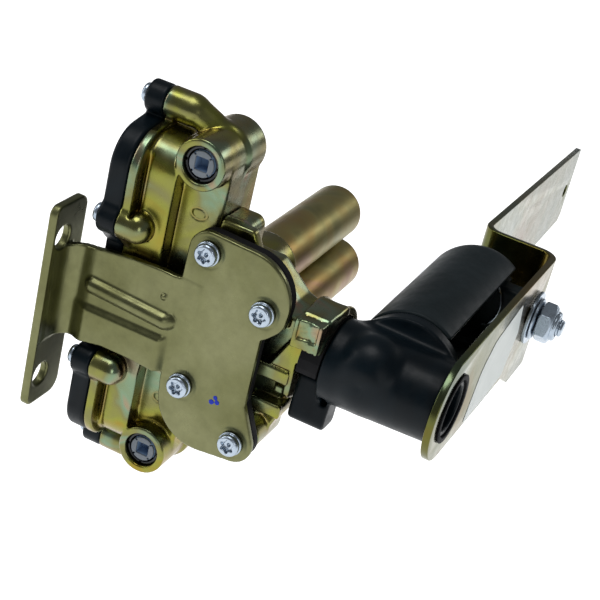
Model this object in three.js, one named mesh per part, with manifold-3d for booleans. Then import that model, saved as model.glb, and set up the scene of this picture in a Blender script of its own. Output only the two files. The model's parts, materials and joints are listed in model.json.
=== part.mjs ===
// Zone valve actuator: two mirror-image worm reducers on one steel bracket, driving a crank lever
// through a pair of spring-returned racks. Millimetres, +Z up. +X runs along the crank's axis away
// from the mounting flange, and +Y from the front plate towards the guide tubes.
// The pieces are drawn about a working origin: the front plate's front face, level with the crank's
// axis. The last lines move the whole group, so that the part's origin is the mounting face's centre.
import * as THREE from "three";
import { mergeVertices } from "three/addons/utils/BufferGeometryUtils.js";
import Module from "manifold-3d";

const wasm = await Module();
wasm.setup();

// ---------------------------------------------------------------- driving dimensions
const GAP = 0.3; // between pieces that touch
const FINEST = 0.09; // detail smaller than this is dropped from the finished meshes
const SIDES = { upper: 1, lower: -1 };

const plate = { thick: 3, halfWidth: 14.6, lobeSmall: 8.5, lobeLarge: 9.3 };
const plateCorners = { top: { x: 4.8, z: 22.2, radius: 18.3 }, bottom: { x: -2.5, z: -31.2, radius: 19.2 } };
const pad = { thick: 4.4, inset: 0.9 };
const plateScrews = [
  { x: -13, z: 32.9 },
  { x: 13.5, z: 18.3 },
  { x: -13, z: -25.2 },
  { x: 13, z: -40.2 },
];
const m5 = { shank: 2.5, clear: 2.9, head: 4.9, headHigh: 3.8, torx: 2.6, long: 13.2 };
const m4 = { shank: 2, clear: 2.35, head: 3.9, headHigh: 2.6, long: 19 };
const m8 = { shank: 4, clear: 4.4, flats: 13, nutHigh: 8.2 };
const nutFlats = 16;

const flange = { outerX: -73.5, thick: 3.6, frontY: -15, backY: 7.5, top: 33.5, bottom: -55.7 };
const flangeHoles = { radius: 5.4, y: -7.8, z: [19.2, -42.6] };
const arm = { y: 1.5, thick: 3, top: 19.2, bottom: -24, bend: 8, toX: -12 };
const armEdges = {
  top: [[-80, 13.5], [-66, 15.3], [-55, 17.3], [-42, 18.8], [-29, 19.2], [-12, 18.2]],
  bottom: [[-12, -24.5], [-26, -22.5], [-36, -21.8], [-48, -21.8], [-59, -23.9], [-66, -25], [-80, -27]],
};
const bead = { z: -0.4, fromX: -56, toX: -24, radius: 3.4, proud: 2.2 };

const reducer = {
  rimX: [-50, -46.5],
  panelX: [-46.5, -33],
  bodyX: [-33, -15],
  frontY: 10,
  rimY: -3.5,
  panelY: 2,
  rearY: 37,
  bottomZ: 5,
  topZ: 69.9,
};
const port = { x: -25, z: 63.6, outer: 10.2, bore: 7.3, faceY: 2.7, jointY: 20.6, endY: 37.4, rear: 11.6 };
const coverThick = 8.3;
const ears = [
  { y: -0.6, z: 31.65, boss: 6.3, toX: -39 },
  { y: 21.5, z: 75.4, boss: 6.5, toX: -34 },
  { y: 42.5, z: 14, boss: 6, toX: -40 },
];

const crank = { y: 22.5, z: 0, radiusIn: 17, radiusOut: 15.8, fromX: 38.2, toX: 84 };
const tube = { z: 11.8, jointY: 53, endY: 126.5, root: 11.95, end: 11.8, bore: 8.3, round: 3.5 };
const tubeX = { upper: -9.3, lower: -3.9 };
const socket = { radius: 13.4, bore: 8.9 };
const lug = { fromX: 27.8 };

// Gear train: worm -> wheel; pinion -> spur; rack pinion -> rack -> crank pinion. Module 1 throughout.
const gearTeeth = { wheel: 19, pinion: 12, spur: 33, rackPinion: 16, crank: 10 };
const pressure = (25 * Math.PI) / 180;
const backlash = 0.34;
const wormPitchRadius = 4.8;
const centreSlack = 0.1;
const wheelZ = port.z - wormPitchRadius - gearTeeth.wheel / 2 - centreSlack;
const outputZ = wheelZ - (gearTeeth.pinion + gearTeeth.spur) / 2 - centreSlack;
const rackLine = { inner: gearTeeth.crank / 2, outer: outputZ - gearTeeth.rackPinion / 2 };
const rackFace = 6.4;

const bracket = { outerX: 87.4, thick: 3, endRadius: 21.5, crossY: 150, armX: 52.5, bend: 7, tipY: 313 };
const bushHole = 13.6;
const bolt = { y: 127, z: -2.2 };
const hood = { x: 62, radius: 22.6, wall: 3, fromY: 38.5, toY: 133, mouth: (61 * Math.PI) / 180 };

// ---------------------------------------------------------------- solids
const FRAMES = {
  x: new THREE.Matrix4().makeBasis(
    new THREE.Vector3(0, 1, 0),
    new THREE.Vector3(0, 0, 1),
    new THREE.Vector3(1, 0, 0),
  ),
  y: new THREE.Matrix4().makeBasis(
    new THREE.Vector3(1, 0, 0),
    new THREE.Vector3(0, 0, 1),
    new THREE.Vector3(0, -1, 0),
  ),
  z: new THREE.Matrix4(),
};

// A closed three.js geometry as a manifold solid, facing out.
function solid(geometry) {
  const bare = geometry.index ? geometry.toNonIndexed() : geometry;
  bare.deleteAttribute("normal");
  bare.deleteAttribute("uv");
  const merged = mergeVertices(bare, 1e-4);
  const index = [];
  for (let i = 0; i < merged.index.count; i += 3) {
    const [a, b, c] = [0, 1, 2].map((k) => merged.index.getX(i + k));
    if (a !== b && b !== c && c !== a) index.push(a, b, c);
  }
  const build = (triVerts) =>
    new wasm.Manifold(
      new wasm.Mesh({ numProp: 3, vertProperties: merged.attributes.position.array, triVerts }),
    );
  const made = build(new Uint32Array(index));
  return made.volume() > 0 ? made : build(new Uint32Array(index.reverse()));
}

const join = (...parts) => parts.flat().reduce((a, b) => a.add(b));
const cut = (body, ...tools) => tools.flat().reduce((a, b) => a.subtract(b), body);

// A shape pushed along an axis. It is drawn in (y, z) for x, in (x, z) for y and in (x, y) for z.
function prism(shape, axis, from, to, curveSegments = 12) {
  const geometry = new THREE.ExtrudeGeometry(shape, { depth: to - from, bevelEnabled: false, curveSegments });
  geometry.applyMatrix4(FRAMES[axis]);
  if (axis === "y") geometry.translate(0, to, 0);
  else if (axis === "x") geometry.translate(from, 0, 0);
  else geometry.translate(0, 0, from);
  return solid(geometry);
}

// A profile of [radius, distance along the axis] points turned about an axis through (u, v).
function turned(axis, u, v, profile, segments = 24) {
  const geometry = new THREE.LatheGeometry(
    profile.map(([r, t]) => new THREE.Vector2(r, t)),
    segments,
  );
  if (axis === "x") geometry.rotateZ(-Math.PI / 2).translate(0, u, v);
  else geometry.translate(u, 0, v);
  return solid(geometry);
}

const rod = (axis, u, v, radius, from, to, segments = 16, endRadius = radius) =>
  turned(axis, u, v, [[0, from], [radius, from], [endRadius, to], [0, to]], segments);

const block = ([x0, x1], [y0, y1], [z0, z1]) =>
  prism(polygon([[x0, y0], [x1, y0], [x1, y1], [x0, y1]]), "z", z0, z1);

function polygon(points) {
  return new THREE.Shape(points.map(([a, b]) => new THREE.Vector2(a, b)));
}

// A closed outline through corner points [a, b, radius], each corner rounded by its own radius.
function rounded(corners) {
  const shape = new THREE.Shape();
  corners.forEach(([a, b, radius = 0], i) => {
    const here = new THREE.Vector2(a, b);
    const before = corners.at(i - 1);
    const after = corners[(i + 1) % corners.length];
    const back = new THREE.Vector2(before[0], before[1]).sub(here).normalize();
    const ahead = new THREE.Vector2(after[0], after[1]).sub(here).normalize();
    const half = Math.acos(THREE.MathUtils.clamp(back.dot(ahead), -1, 1)) / 2;
    const reach = radius / Math.tan(half);
    const start = here.clone().addScaledVector(back, reach);
    const end = here.clone().addScaledVector(ahead, reach);
    if (i === 0) shape.moveTo(start.x, start.y);
    else shape.lineTo(start.x, start.y);
    if (radius > 0) {
      const inward = back.clone().add(ahead).normalize();
      const centre = here.clone().addScaledVector(inward, radius / Math.sin(half));
      const steps = Math.max(2, Math.round(((Math.PI - 2 * half) * Math.sqrt(radius)) / 1.45));
      const from = Math.atan2(start.y - centre.y, start.x - centre.x);
      let sweep = Math.atan2(end.y - centre.y, end.x - centre.x) - from;
      if (sweep > Math.PI) sweep -= 2 * Math.PI;
      if (sweep < -Math.PI) sweep += 2 * Math.PI;
      for (let k = 1; k <= steps; k++) {
        const angle = from + (sweep * k) / steps;
        shape.lineTo(centre.x + radius * Math.cos(angle), centre.y + radius * Math.sin(angle));
      }
    }
  });
  return shape;
}

// A strip of sheet metal seen edge on: straight runs through the corners, bent to a mean radius.
function strip(corners, bend, thick) {
  const line = [new THREE.Vector2(...corners[0])];
  for (let i = 1; i < corners.length - 1; i++) {
    const here = new THREE.Vector2(...corners[i]);
    const back = new THREE.Vector2(...corners[i - 1]).sub(here).normalize();
    const ahead = new THREE.Vector2(...corners[i + 1]).sub(here).normalize();
    const half = Math.acos(back.dot(ahead)) / 2;
    const centre = here.clone().addScaledVector(back.clone().add(ahead).normalize(), bend / Math.sin(half));
    const start = here.clone().addScaledVector(back, bend / Math.tan(half)).sub(centre);
    const turn = Math.sign(back.cross(ahead)) * (2 * half - Math.PI);
    for (let k = 0; k <= 6; k++) {
      line.push(start.clone().rotateAround(new THREE.Vector2(), (turn * k) / 6).add(centre));
    }
  }
  line.push(new THREE.Vector2(...corners.at(-1)));
  const side = (sign) =>
    line.map((point, i) => {
      const along = line[Math.min(i + 1, line.length - 1)].clone().sub(line[Math.max(i - 1, 0)]).normalize();
      return [point.x - sign * along.y * (thick / 2), point.y + sign * along.x * (thick / 2)];
    });
  return polygon([...side(1), ...side(-1).reverse()]);
}

// A bar with the given section swept round an axis: rings of [radius, distance along] points.
function helix(section, axis, u, v, pitch, turns, stepsPerTurn, phase = 0) {
  const count = Math.round(turns * stepsPerTurn);
  const sides = section.length;
  const positions = [];
  const ring = (i, k) => {
    const angle = phase + (2 * Math.PI * i) / stepsPerTurn;
    const [r, t] = section[k % sides];
    return [r * Math.sin(angle), t + (pitch * i) / stepsPerTurn, r * Math.cos(angle)];
  };
  const quad = (a, b, c, d) => positions.push(...a, ...b, ...c, ...a, ...c, ...d);
  for (let i = 0; i < count; i++) {
    for (let k = 0; k < sides; k++) quad(ring(i, k), ring(i, k + 1), ring(i + 1, k + 1), ring(i + 1, k));
  }
  for (let k = 1; k < sides - 1; k++) {
    positions.push(...ring(0, 0), ...ring(0, k + 1), ...ring(0, k));
    positions.push(...ring(count, 0), ...ring(count, k), ...ring(count, k + 1));
  }
  const geometry = new THREE.BufferGeometry();
  geometry.setAttribute("position", new THREE.Float32BufferAttribute(positions, 3));
  if (axis === "x") geometry.rotateZ(-Math.PI / 2).translate(0, u, v);
  else geometry.translate(u, 0, v);
  return solid(geometry);
}

// ---------------------------------------------------------------- gears
const ADDENDUM = 0.8;
const DEDENDUM = 1.15;
const involute = (angle) => Math.tan(angle) - angle;

// Outline of a module-1 involute gear. firstTooth is the angle of the middle of one tooth.
function gearShape(teeth, firstTooth) {
  const pitchRadius = teeth / 2;
  const base = pitchRadius * Math.cos(pressure);
  const root = pitchRadius - DEDENDUM;
  const tip = pitchRadius + ADDENDUM;
  const atPitch = Math.PI / (2 * teeth) - backlash / 2 / pitchRadius;
  const halfAngle = (r) => atPitch + involute(pressure) - involute(Math.acos(Math.min(1, base / r)));
  const flank = [root, tip];
  const points = [];
  for (let tooth = 0; tooth < teeth; tooth++) {
    const middle = firstTooth + (2 * Math.PI * tooth) / teeth;
    const corner = (r, sign) => {
      const angle = middle + sign * halfAngle(r);
      points.push([r * Math.cos(angle), r * Math.sin(angle)]);
    };
    flank.forEach((r) => corner(r, -1));
    flank.toReversed().forEach((r) => corner(r, 1));
  }
  return polygon(points);
}

// A gear about an X axis through (y, z); angles run from +Y towards +Z.
function gear(teeth, firstTooth, y, z, fromX, toX) {
  return prism(gearShape(teeth, firstTooth), "x", fromX, toX).translate([0, y, z]);
}

// Rack teeth along Y on a bar from z = low to z = high: one tooth is centred at y = phase on each side.
function rackBar(x, width, fromY, toY, low, high, phase) {
  const pitch = Math.PI;
  const halfPitch = pitch / 4 - backlash / 2;
  const slope = Math.tan(pressure);
  const body = block([x - width / 2, x + width / 2], [fromY, toY], [low + DEDENDUM, high - DEDENDUM]);
  const teeth = [];
  const edge = (line, sign) => {
    const first = Math.ceil((fromY + pitch / 2 - phase) / pitch);
    const last = Math.floor((toY - pitch / 2 - phase) / pitch);
    for (let n = first; n <= last; n++) {
      const y = phase + n * pitch;
      const wide = halfPitch + (DEDENDUM + 0.2) * slope;
      const narrow = halfPitch - ADDENDUM * slope;
      const root = line - sign * (DEDENDUM + 0.2);
      const tip = line + sign * ADDENDUM;
      const outline = polygon([[y - wide, root], [y + wide, root], [y + narrow, tip], [y - narrow, tip]]);
      teeth.push(prism(outline, "x", x - width / 2, x + width / 2));
    }
  };
  edge(low, -1);
  edge(high, 1);
  return join(body, teeth);
}

// ---------------------------------------------------------------- screws
function torxRecess(x, z, y, radius, depth) {
  const points = [];
  for (let k = 0; k < 12; k++) {
    const r = radius * (k % 2 ? 1 : 0.72);
    const angle = (Math.PI * k) / 6;
    points.push([x + r * Math.cos(angle), z + r * Math.sin(angle)]);
  }
  return prism(polygon(points), "y", y - 1, y + depth);
}

function plateScrew({ x, z }) {
  const top = -GAP - m5.headHigh;
  const body = turned(
    "y", x, z,
    [[0, top], [m5.head * 0.78, top], [m5.head * 0.97, top + 0.9], [m5.head, -GAP],
      [m5.shank, -GAP], [m5.shank, m5.long], [0, m5.long]],
    16,
  );
  return cut(body, torxRecess(x, z, top, m5.torx, 2.2));
}

// A cover screw lies along X, its domed head on the cover's left face.
function coverScrew(y, z) {
  const face = reducer.rimX[0] - GAP - coverThick - GAP;
  const top = face - m4.headHigh;
  const body = turned(
    "x", y, z,
    [[0, top], [m4.head * 0.6, top], [m4.head * 0.93, top + 0.8], [m4.head, face],
      [m4.shank, face], [m4.shank, face + m4.long], [0, face + m4.long]],
    12,
  );
  const hex = Array.from({ length: 6 }, (_, k) => [
    y + 2 * Math.cos((k * Math.PI) / 3),
    z + 2 * Math.sin((k * Math.PI) / 3),
  ]);
  return cut(body, prism(polygon(hex), "x", top - 1, top + 1.7));
}

// ---------------------------------------------------------------- the mounting side
function lobes(inset) {
  const [a, b, c, d] = plateScrews;
  const small = plate.lobeSmall - inset;
  const large = plate.lobeLarge - inset;
  const bar = (p, rp, q, rq, y0, y1) => {
    const along = Math.atan2(q.z - p.z, q.x - p.x);
    const lean = Math.acos((rp - rq) / Math.hypot(q.x - p.x, q.z - p.z));
    const at = (s, r, angle) => [s.x + r * Math.cos(angle), s.z + r * Math.sin(angle)];
    const web = polygon([
      at(p, rp, along + lean), at(p, rp, along - lean),
      at(q, rq, along - lean), at(q, rq, along + lean),
    ]);
    return join(
      rod("y", p.x, p.z, rp, y0, y1, 28),
      rod("y", q.x, q.z, rq, y0, y1, 28),
      prism(web, "y", y0, y1),
    );
  };
  return (y0, y1) => {
    const half = plate.halfWidth - inset;
    const core = polygon([[-half, a.z], [half, b.z], [half, d.z], [-half, c.z]]);
    const { top, bottom } = plateCorners;
    return join(
      bar(a, small, b, large, y0, y1),
      bar(a, small, top, top.radius - inset, y0, y1),
      bar(b, large, top, top.radius - inset, y0, y1),
      bar(a, small, c, large, y0, y1),
      bar(c, large, d, small, y0, y1),
      bar(c, large, bottom, bottom.radius - inset, y0, y1),
      bar(d, small, bottom, bottom.radius - inset, y0, y1),
      prism(core, "y", y0, y1),
    );
  };
}

const screwHoles = (radius, from, to) =>
  plateScrews.map(({ x, z }) => rod("y", x, z, radius, from, to, 12));

function mountingBracket() {
  const flangeX = flange.outerX + flange.thick / 2;
  const armBody = prism(
    strip([[flangeX, flange.frontY + 5], [flangeX, arm.y], [arm.toX, arm.y]], arm.bend, arm.thick),
    "z", arm.bottom - 8, arm.top + 8,
  ).intersect(prism(polygon([...armEdges.top, ...armEdges.bottom]), "y", -20, 10));
  const wall = prism(
    rounded([
      [flange.frontY, flange.bottom, 4], [flange.backY, flange.bottom, 4],
      [flange.backY, flange.top, 4], [flange.frontY, flange.top, 4],
    ]),
    "x", flange.outerX, flange.outerX + flange.thick,
  );
  const foot = arm.y - arm.thick / 2 + 0.4;
  const crest = arm.y - arm.thick / 2 - bead.proud;
  const beadEnds = [bead.fromX, bead.toX].map((x) =>
    turned("y", x, bead.z, [[0, crest], [bead.radius * 0.55, crest], [bead.radius, foot], [0, foot]], 20),
  );
  const beadBar = prism(
    polygon([
      [foot, bead.z - bead.radius], [foot, bead.z + bead.radius],
      [crest, bead.z + bead.radius * 0.55], [crest, bead.z - bead.radius * 0.55],
    ]),
    "x", bead.fromX, bead.toX,
  );
  const holes = flangeHoles.z.map((z) =>
    rod("x", flangeHoles.y, z, flangeHoles.radius, flange.outerX - 1, flange.outerX + flange.thick + 1, 32),
  );
  return cut(
    join(lobes(0)(0, plate.thick), armBody, wall, beadEnds, beadBar),
    holes,
    screwHoles(m5.clear, -1, plate.thick + 1),
  );
}

function isolatorPad() {
  const from = plate.thick + GAP;
  return cut(lobes(pad.inset)(from, from + pad.thick), screwHoles(m5.clear, from - 1, from + pad.thick + 1));
}

// ---------------------------------------------------------------- the reducers
// Outline of the gear chamber in (y, z); front is its front face's distance and shrink pulls in the rest.
// Behind the bracket's arm the front face steps back, so that the arm passes in front of it.
function chamberOutline(side, front, shrink) {
  const top = reducer.topZ - shrink;
  const armEdge = side > 0 ? arm.top : -arm.bottom;
  const stepY = Math.max(front, arm.y + arm.thick / 2 + GAP);
  const step = stepY > front + 0.5
    ? [[stepY, side * (armEdge + 0.6), 0.5], [front, side * (armEdge + 7.5), 2]]
    : [];
  return rounded([
    [stepY, side * reducer.bottomZ, 6],
    ...step,
    [front, side * (top - 4), 15 - shrink],
    [24, side * top, 8],
    [44 - shrink, side * (top - 14), 12],
    [44 - shrink, side * reducer.bottomZ, 6],
  ]);
}

function gearPocket(side, from, to, slack) {
  return join(
    rod("x", crank.y, side * wheelZ, gearTeeth.pinion / 2 + ADDENDUM + slack, from, to, 20),
    rod("x", crank.y, side * outputZ, gearTeeth.spur / 2 + ADDENDUM + slack, from, to, 28),
  );
}

function gearHousing(side) {
  const { rimX, panelX, bodyX } = reducer;
  const rim = prism(chamberOutline(side, reducer.rimY, 0), "x", rimX[0], rimX[1]);
  const panel = prism(chamberOutline(side, reducer.panelY, 1.5), "x", panelX[0] - 0.5, panelX[1]);
  const body = prism(
    rounded([
      [reducer.frontY, side * reducer.bottomZ, 3], [reducer.frontY, side * port.z, 1],
      [reducer.rearY, side * port.z, 3], [reducer.rearY, side * reducer.bottomZ, 3],
    ]),
    "x", bodyX[0] - 0.5, bodyX[1],
  );
  const barrel = turned("y", port.x, side * port.z, [
    [0, port.faceY + 0.6], [port.bore + 0.6, port.faceY + 0.6], [port.bore + 1.2, port.faceY],
    [port.outer - 0.7, port.faceY], [port.outer, port.faceY + 0.7], [port.outer, port.jointY],
    [port.rear, port.jointY + 0.4], [port.rear, port.endY - 3], [port.rear - 1, port.endY - 0.9],
    [port.rear - 3, port.endY], [0, port.endY],
  ], 24);
  const saddle = prism(
    rounded([
      [reducer.frontY, side * (port.z - 14), 1], [reducer.frontY, side * (port.z + 6), 5],
      [reducer.rearY, side * (port.z + 6), 5], [reducer.rearY, side * (port.z - 14), 1],
    ]),
    "x", panelX[1] - 1, port.x,
  );
  const bosses = ears.map(({ y, z, boss, toX }) =>
    turned("x", y, side * z, [
      [0, rimX[0]], [boss, rimX[0]], [boss, toX], [boss * 0.86, toX + boss * 0.5],
      [boss * 0.5, toX + boss * 0.85], [0, toX + boss * 0.95],
    ], 14),
  );
  const slope = prism(
    polygon([
      [ears[1].toX - 2, side * (ears[1].z + 5)], [ears[1].toX + 1, side * (ears[1].z + 5)],
      [port.x + 6, side * (port.z + 8.5)], [port.x + 6, side * port.z], [ears[1].toX - 2, side * port.z],
    ]),
    "y", 17, 27,
  );
  const wormBore = turned("y", port.x, side * port.z, [
    [0, port.faceY - 1], [port.bore, port.faceY - 1], [port.bore, 33.6], [0, 33.6],
  ], 20);
  const wheelRoom = rod("x", crank.y, side * wheelZ, gearTeeth.wheel / 2 + ADDENDUM + 0.7, -31, -19, 24);
  const pinionRoom = gearPocket(side, rimX[0] - 1, -37.2, 0.8);
  const wheelShaftHole = rod("x", crank.y, side * wheelZ, 3.25, -40, -16.5, 14);
  const outputShaftHole = rod("x", crank.y, side * outputZ, 3.75, -40, bodyX[1] + 1, 14);
  const coverScrewHoles = ears.map(({ y, z }) =>
    rod("x", y, side * z, m4.clear, rimX[0] - 1, rimX[0] + 11.5, 8),
  );
  return cut(
    join(rim, panel, body, barrel, saddle, bosses, slope),
    wormBore, wheelRoom, pinionRoom, wheelShaftHole, outputShaftHole, coverScrewHoles,
    screwHoles(m5.clear, reducer.frontY - 1, m5.long + 0.5),
  );
}

function gearCover(side) {
  const inner = reducer.rimX[0] - GAP;
  const outer = inner - coverThick;
  const shell = prism(chamberOutline(side, reducer.rimY, 0), "x", outer, inner);
  const lugs = ears.map(({ y, z, boss }) => rod("x", y, side * z, boss, outer, inner, 16));
  const room = gearPocket(side, inner - 2.6, inner + 1, 0.8);
  const journals = [
    rod("x", crank.y, side * wheelZ, 3.25, inner - 5.5, inner, 12),
    rod("x", crank.y, side * outputZ, 3.75, inner - 5.5, inner, 12),
  ];
  const dish = prism(chamberOutline(side, reducer.rimY + 4, 4), "x", outer - 1, outer + 0.9);
  const holes = ears.map(({ y, z }) => rod("x", y, side * z, m4.clear, outer - 1, inner + 1, 8));
  return cut(join(cut(shell, dish), lugs), room, journals, holes);
}

function portBush(side) {
  const [from, to] = [port.faceY + 1.8, port.faceY + 5.5];
  const outer = port.bore - GAP;
  return turned("y", port.x, side * port.z, [
    [5.95, from], [outer, from], [outer, to], [5.95, to], [5.95, from],
  ], 20);
}

// ---------------------------------------------------------------- the drive train
function driveWorm(side) {
  const half = Math.PI / 4 - 0.42;
  const slope = Math.tan(pressure);
  const root = wormPitchRadius - DEDENDUM;
  const tip = wormPitchRadius + ADDENDUM;
  const thread = helix(
    [
      [root - 0.3, -half - (DEDENDUM + 0.3) * slope], [tip, -half + ADDENDUM * slope],
      [tip, half - ADDENDUM * slope], [root - 0.3, half + (DEDENDUM + 0.3) * slope],
    ],
    "y", port.x, side * port.z, Math.PI, 4, 9, side > 0 ? Math.PI : 0,
  ).translate([0, crank.y - 2 * Math.PI, 0]);
  const shaft = turned("y", port.x, side * port.z, [
    [0, 4.9], [4.9, 4.9], [5.4, 5.4], [5.4, 11.5], [root, 12.2], [root, 32.2], [0, 32.2],
  ], 16);
  const square = polygon([[-2.7, -2.7], [2.7, -2.7], [2.7, 2.7], [-2.7, 2.7]]);
  const drive = prism(square, "y", 3, 10).translate([port.x, 0, side * port.z]);
  return cut(join(shaft, thread), drive);
}

function wheelShaft(side) {
  const towardsWorm = (side * Math.PI) / 2;
  const gap = Math.PI / gearTeeth.wheel;
  return join(
    rod("x", crank.y, side * wheelZ, 3, -53, -17, 12),
    gear(gearTeeth.wheel, towardsWorm + gap, crank.y, side * wheelZ, -27.2, -22.8),
    gear(gearTeeth.pinion, -towardsWorm, crank.y, side * wheelZ, -48.5, -38.3),
  );
}

function outputShaft(side, name) {
  const up = (side * Math.PI) / 2;
  const x = tubeX[name];
  return join(
    rod("x", crank.y, side * outputZ, 3.5, -53, x + 4.2, 12),
    gear(gearTeeth.spur, up + Math.PI / gearTeeth.spur, crank.y, side * outputZ, -47.5, -39.3),
    gear(gearTeeth.rackPinion, -up, crank.y, side * outputZ, x - 3, x + 3),
  );
}

function rack(side, name) {
  const x = tubeX[name];
  const half = Math.PI / 2;
  const [near, far] = [side * rackLine.inner, side * rackLine.outer];
  const [low, high] = [Math.min(near, far), Math.max(near, far)];
  const bar = rackBar(x, rackFace, 15.6, 42, low, high, crank.y + half);
  return join(
    bar,
    rod("y", x, side * tube.z, 4.6, 40, 62, 16),
    rod("y", x, side * tube.z, 7.4, 60, 63.5, 20),
    rod("y", x, side * tube.z, 4, 63, 72, 12),
  );
}

function returnSpring(side, name) {
  const wire = 0.75;
  const mean = 6.4;
  const section = Array.from({ length: 4 }, (_, k) => [
    mean + wire * Math.cos((k * Math.PI) / 2),
    wire * Math.sin((k * Math.PI) / 2),
  ]);
  const [from, to] = [69, 121.5];
  const turns = 8;
  const coil = helix(section, "y", tubeX[name], side * tube.z, (to - from) / turns, turns, 8);
  return coil.translate([0, from, 0]);
}

function crankShaft() {
  return join(
    rod("x", crank.y, crank.z, 5.2, 1.4, 52, 16),
    rod("x", crank.y, crank.z, 3.4, -14, 2, 12),
    gear(gearTeeth.crank, Math.PI / 2, crank.y, crank.z, -12.6, -0.6),
    block([44, 51.8], [crank.y - 6.2, crank.y + 6.2], [-6.2, 6.2]),
  );
}

// ---------------------------------------------------------------- the middle casting and tubes
// The room that the arm's lug needs round the crank's axis over its whole swing, as a wedge along X.
function lugRoom() {
  const reach = 60;
  const [front, back] = [-83, 69].map((degrees) => (degrees * Math.PI) / 180);
  return prism(
    polygon([
      [crank.y, crank.z], [crank.y + reach * Math.sin(front), crank.z - reach * Math.cos(front)],
      [crank.y - reach, crank.z - reach], [crank.y + reach, crank.z - reach],
      [crank.y + reach * Math.sin(back), crank.z - reach * Math.cos(back)],
    ]),
    "x", lug.fromX - GAP, crank.fromX + 2,
  );
}

function centreCasting() {
  const { frontY, rearY } = reducer;
  const [, , , s4] = plateScrews;
  const behindPad = plate.thick + pad.thick + 2 * GAP;
  const backY = tube.jointY - GAP;
  const left = reducer.bodyX[1] + GAP;
  const core = prism(
    rounded([
      [left, -43, 3], [2, -43, 3], [19, -30, 4], [33, -9, 3], [34, 10, 5], [17, 15, 4], [4, 26, 3],
      [left, 26, 2],
    ]),
    "y", frontY + 3, 38,
  );
  const front = prism(
    rounded([[left, 43.2, 1], [left, 18, 1], [24, 8, 2], [24, 16, 4], [8, 28, 4], [-1, 43.2, 2]]),
    "y", frontY, frontY + 4,
  );
  const lowFront = prism(
    rounded([[left, -43, 2], [left, -12, 1], [8, -6, 1], [13, -24, 1], [8, -43, 2]]),
    "y", frontY, frontY + 4,
  );
  const tail = rod("y", s4.x, s4.z, 7.6, behindPad, 30, 24);
  const web = prism(
    polygon([[s4.x + 5, s4.z - 5], [s4.x + 11, s4.z + 12], [27, -16], [20, -8], [s4.x - 8, s4.z]]),
    "y", 14, 30,
  );
  const hooks = [-9.2, -24.8].map((z) =>
    prism(
      rounded([
        [behindPad, z - 2.4, 1.4], [17, z - 2.4, 0.5], [17, z + 2.4, 0.5], [behindPad, z + 2.4, 1.6],
      ]),
      "x", 13.5, 26,
    ),
  );
  const link = prism(
    polygon([[15, -9.5], [25, -9.5], [34, 5.5], [33, 9], [25, 9]]),
    "y", frontY, frontY + 5,
  );
  const collar = rod("x", crank.y, crank.z, 21, 25.5, 37.6, 32);
  const ledge = block([left, -3.5], [frontY, 30], [22, 43.2]);
  const sockets = Object.entries(SIDES).map(([name, side]) =>
    rod("y", tubeX[name], side * tube.z, socket.radius, frontY + 3, backY, 28),
  );
  const besideHousings = block([left - 20, left], [frontY, rearY + GAP], [-60, 60]);
  const collarFront = block([33.5, 39], [0, crank.y], [-10, 8.5]);
  const pinionRoom = gearTeeth.rackPinion / 2 + ADDENDUM + 0.7;
  const openings = [
    rod("x", crank.y, crank.z, 17.6, 29, 39, 28),
    rod("x", crank.y, crank.z, 5.6, -0.2, 30, 20),
    rod("x", crank.y, crank.z, 6.6, left - 1, 0.4, 20),
    ...Object.entries(SIDES).flatMap(([name, side]) => [
      rod("y", tubeX[name], side * tube.z, socket.bore, frontY + 1.2, backY + 1, 20),
      rod("x", crank.y, side * outputZ, pinionRoom, left - 1, tubeX[name] + 5, 20),
    ]),
    ...screwHoles(m5.clear, 5, m5.long + 0.5),
    besideHousings,
    collarFront,
    lugRoom(),
  ];
  return cut(join(core, front, lowFront, tail, web, hooks, link, collar, ledge, sockets), openings);
}

function guideTube(side, name) {
  const { jointY, endY, root, end, bore, round } = tube;
  return turned("y", tubeX[name], side * tube.z, [
    [bore, jointY], [root, jointY], [end, endY - round], [end - round * 0.3, endY - round * 0.3],
    [end - round, endY], [0, endY], [0, endY - 3], [bore, endY - 3], [bore, jointY],
  ], 24);
}

function pivotBush() {
  const ring = turned(
    "x", crank.y, crank.z,
    [[12.4, 29.4], [17.3, 29.4], [17.3, 37.8], [12.4, 37.8], [12.4, 29.4]], 28,
  );
  return cut(ring, lugRoom());
}

// ---------------------------------------------------------------- the crank lever
function crankArm() {
  const { y, z, radiusIn, radiusOut, fromX, toX } = crank;
  const barrel = turned("x", y, z, [
    [0, fromX - 8.4], [12, fromX - 8.4], [12, fromX], [radiusIn - 0.6, fromX], [radiusIn, fromX + 0.8],
    [radiusOut, toX], [0, toX],
  ], 28);
  const dome = turned("y", 55, 3.4, [
    [0, 3.6], [7, 4], [12, 5.4], [15, 7.6], [16.4, 11], [16.6, 22], [0, 22],
  ], 20);
  const lugBody = prism(
    rounded([[12, -28, 2.5], [25, -28, 2.5], [26, -8, 1], [14, -6, 1]]),
    "x", lug.fromX, 43.2,
  );
  const sleeve = rod("y", hood.x, crank.z, hood.radius - 0.6, 31, hood.fromY + 1, 28);
  const shaftRoom = rod("x", y, z, 5.6, fromX - 9, 53, 16);
  const drive = block([43.6, 52.4], [y - 6.6, y + 6.6], [z - 6.6, z + 6.6]);
  const core = turned("x", y, z, [[0, 60], [10, 60], [9.6, toX + 1], [0, toX + 1]], 16);
  const bushSpigot = turned("x", y, z, [
    [8.9, toX - 1], [11.6, toX - 1], [11.6, bracket.outerX], [8.9, bracket.outerX], [8.9, toX - 1],
  ], 20);
  return join(cut(join(barrel, dome, lugBody, sleeve), shaftRoom, drive, core), bushSpigot);
}

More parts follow.
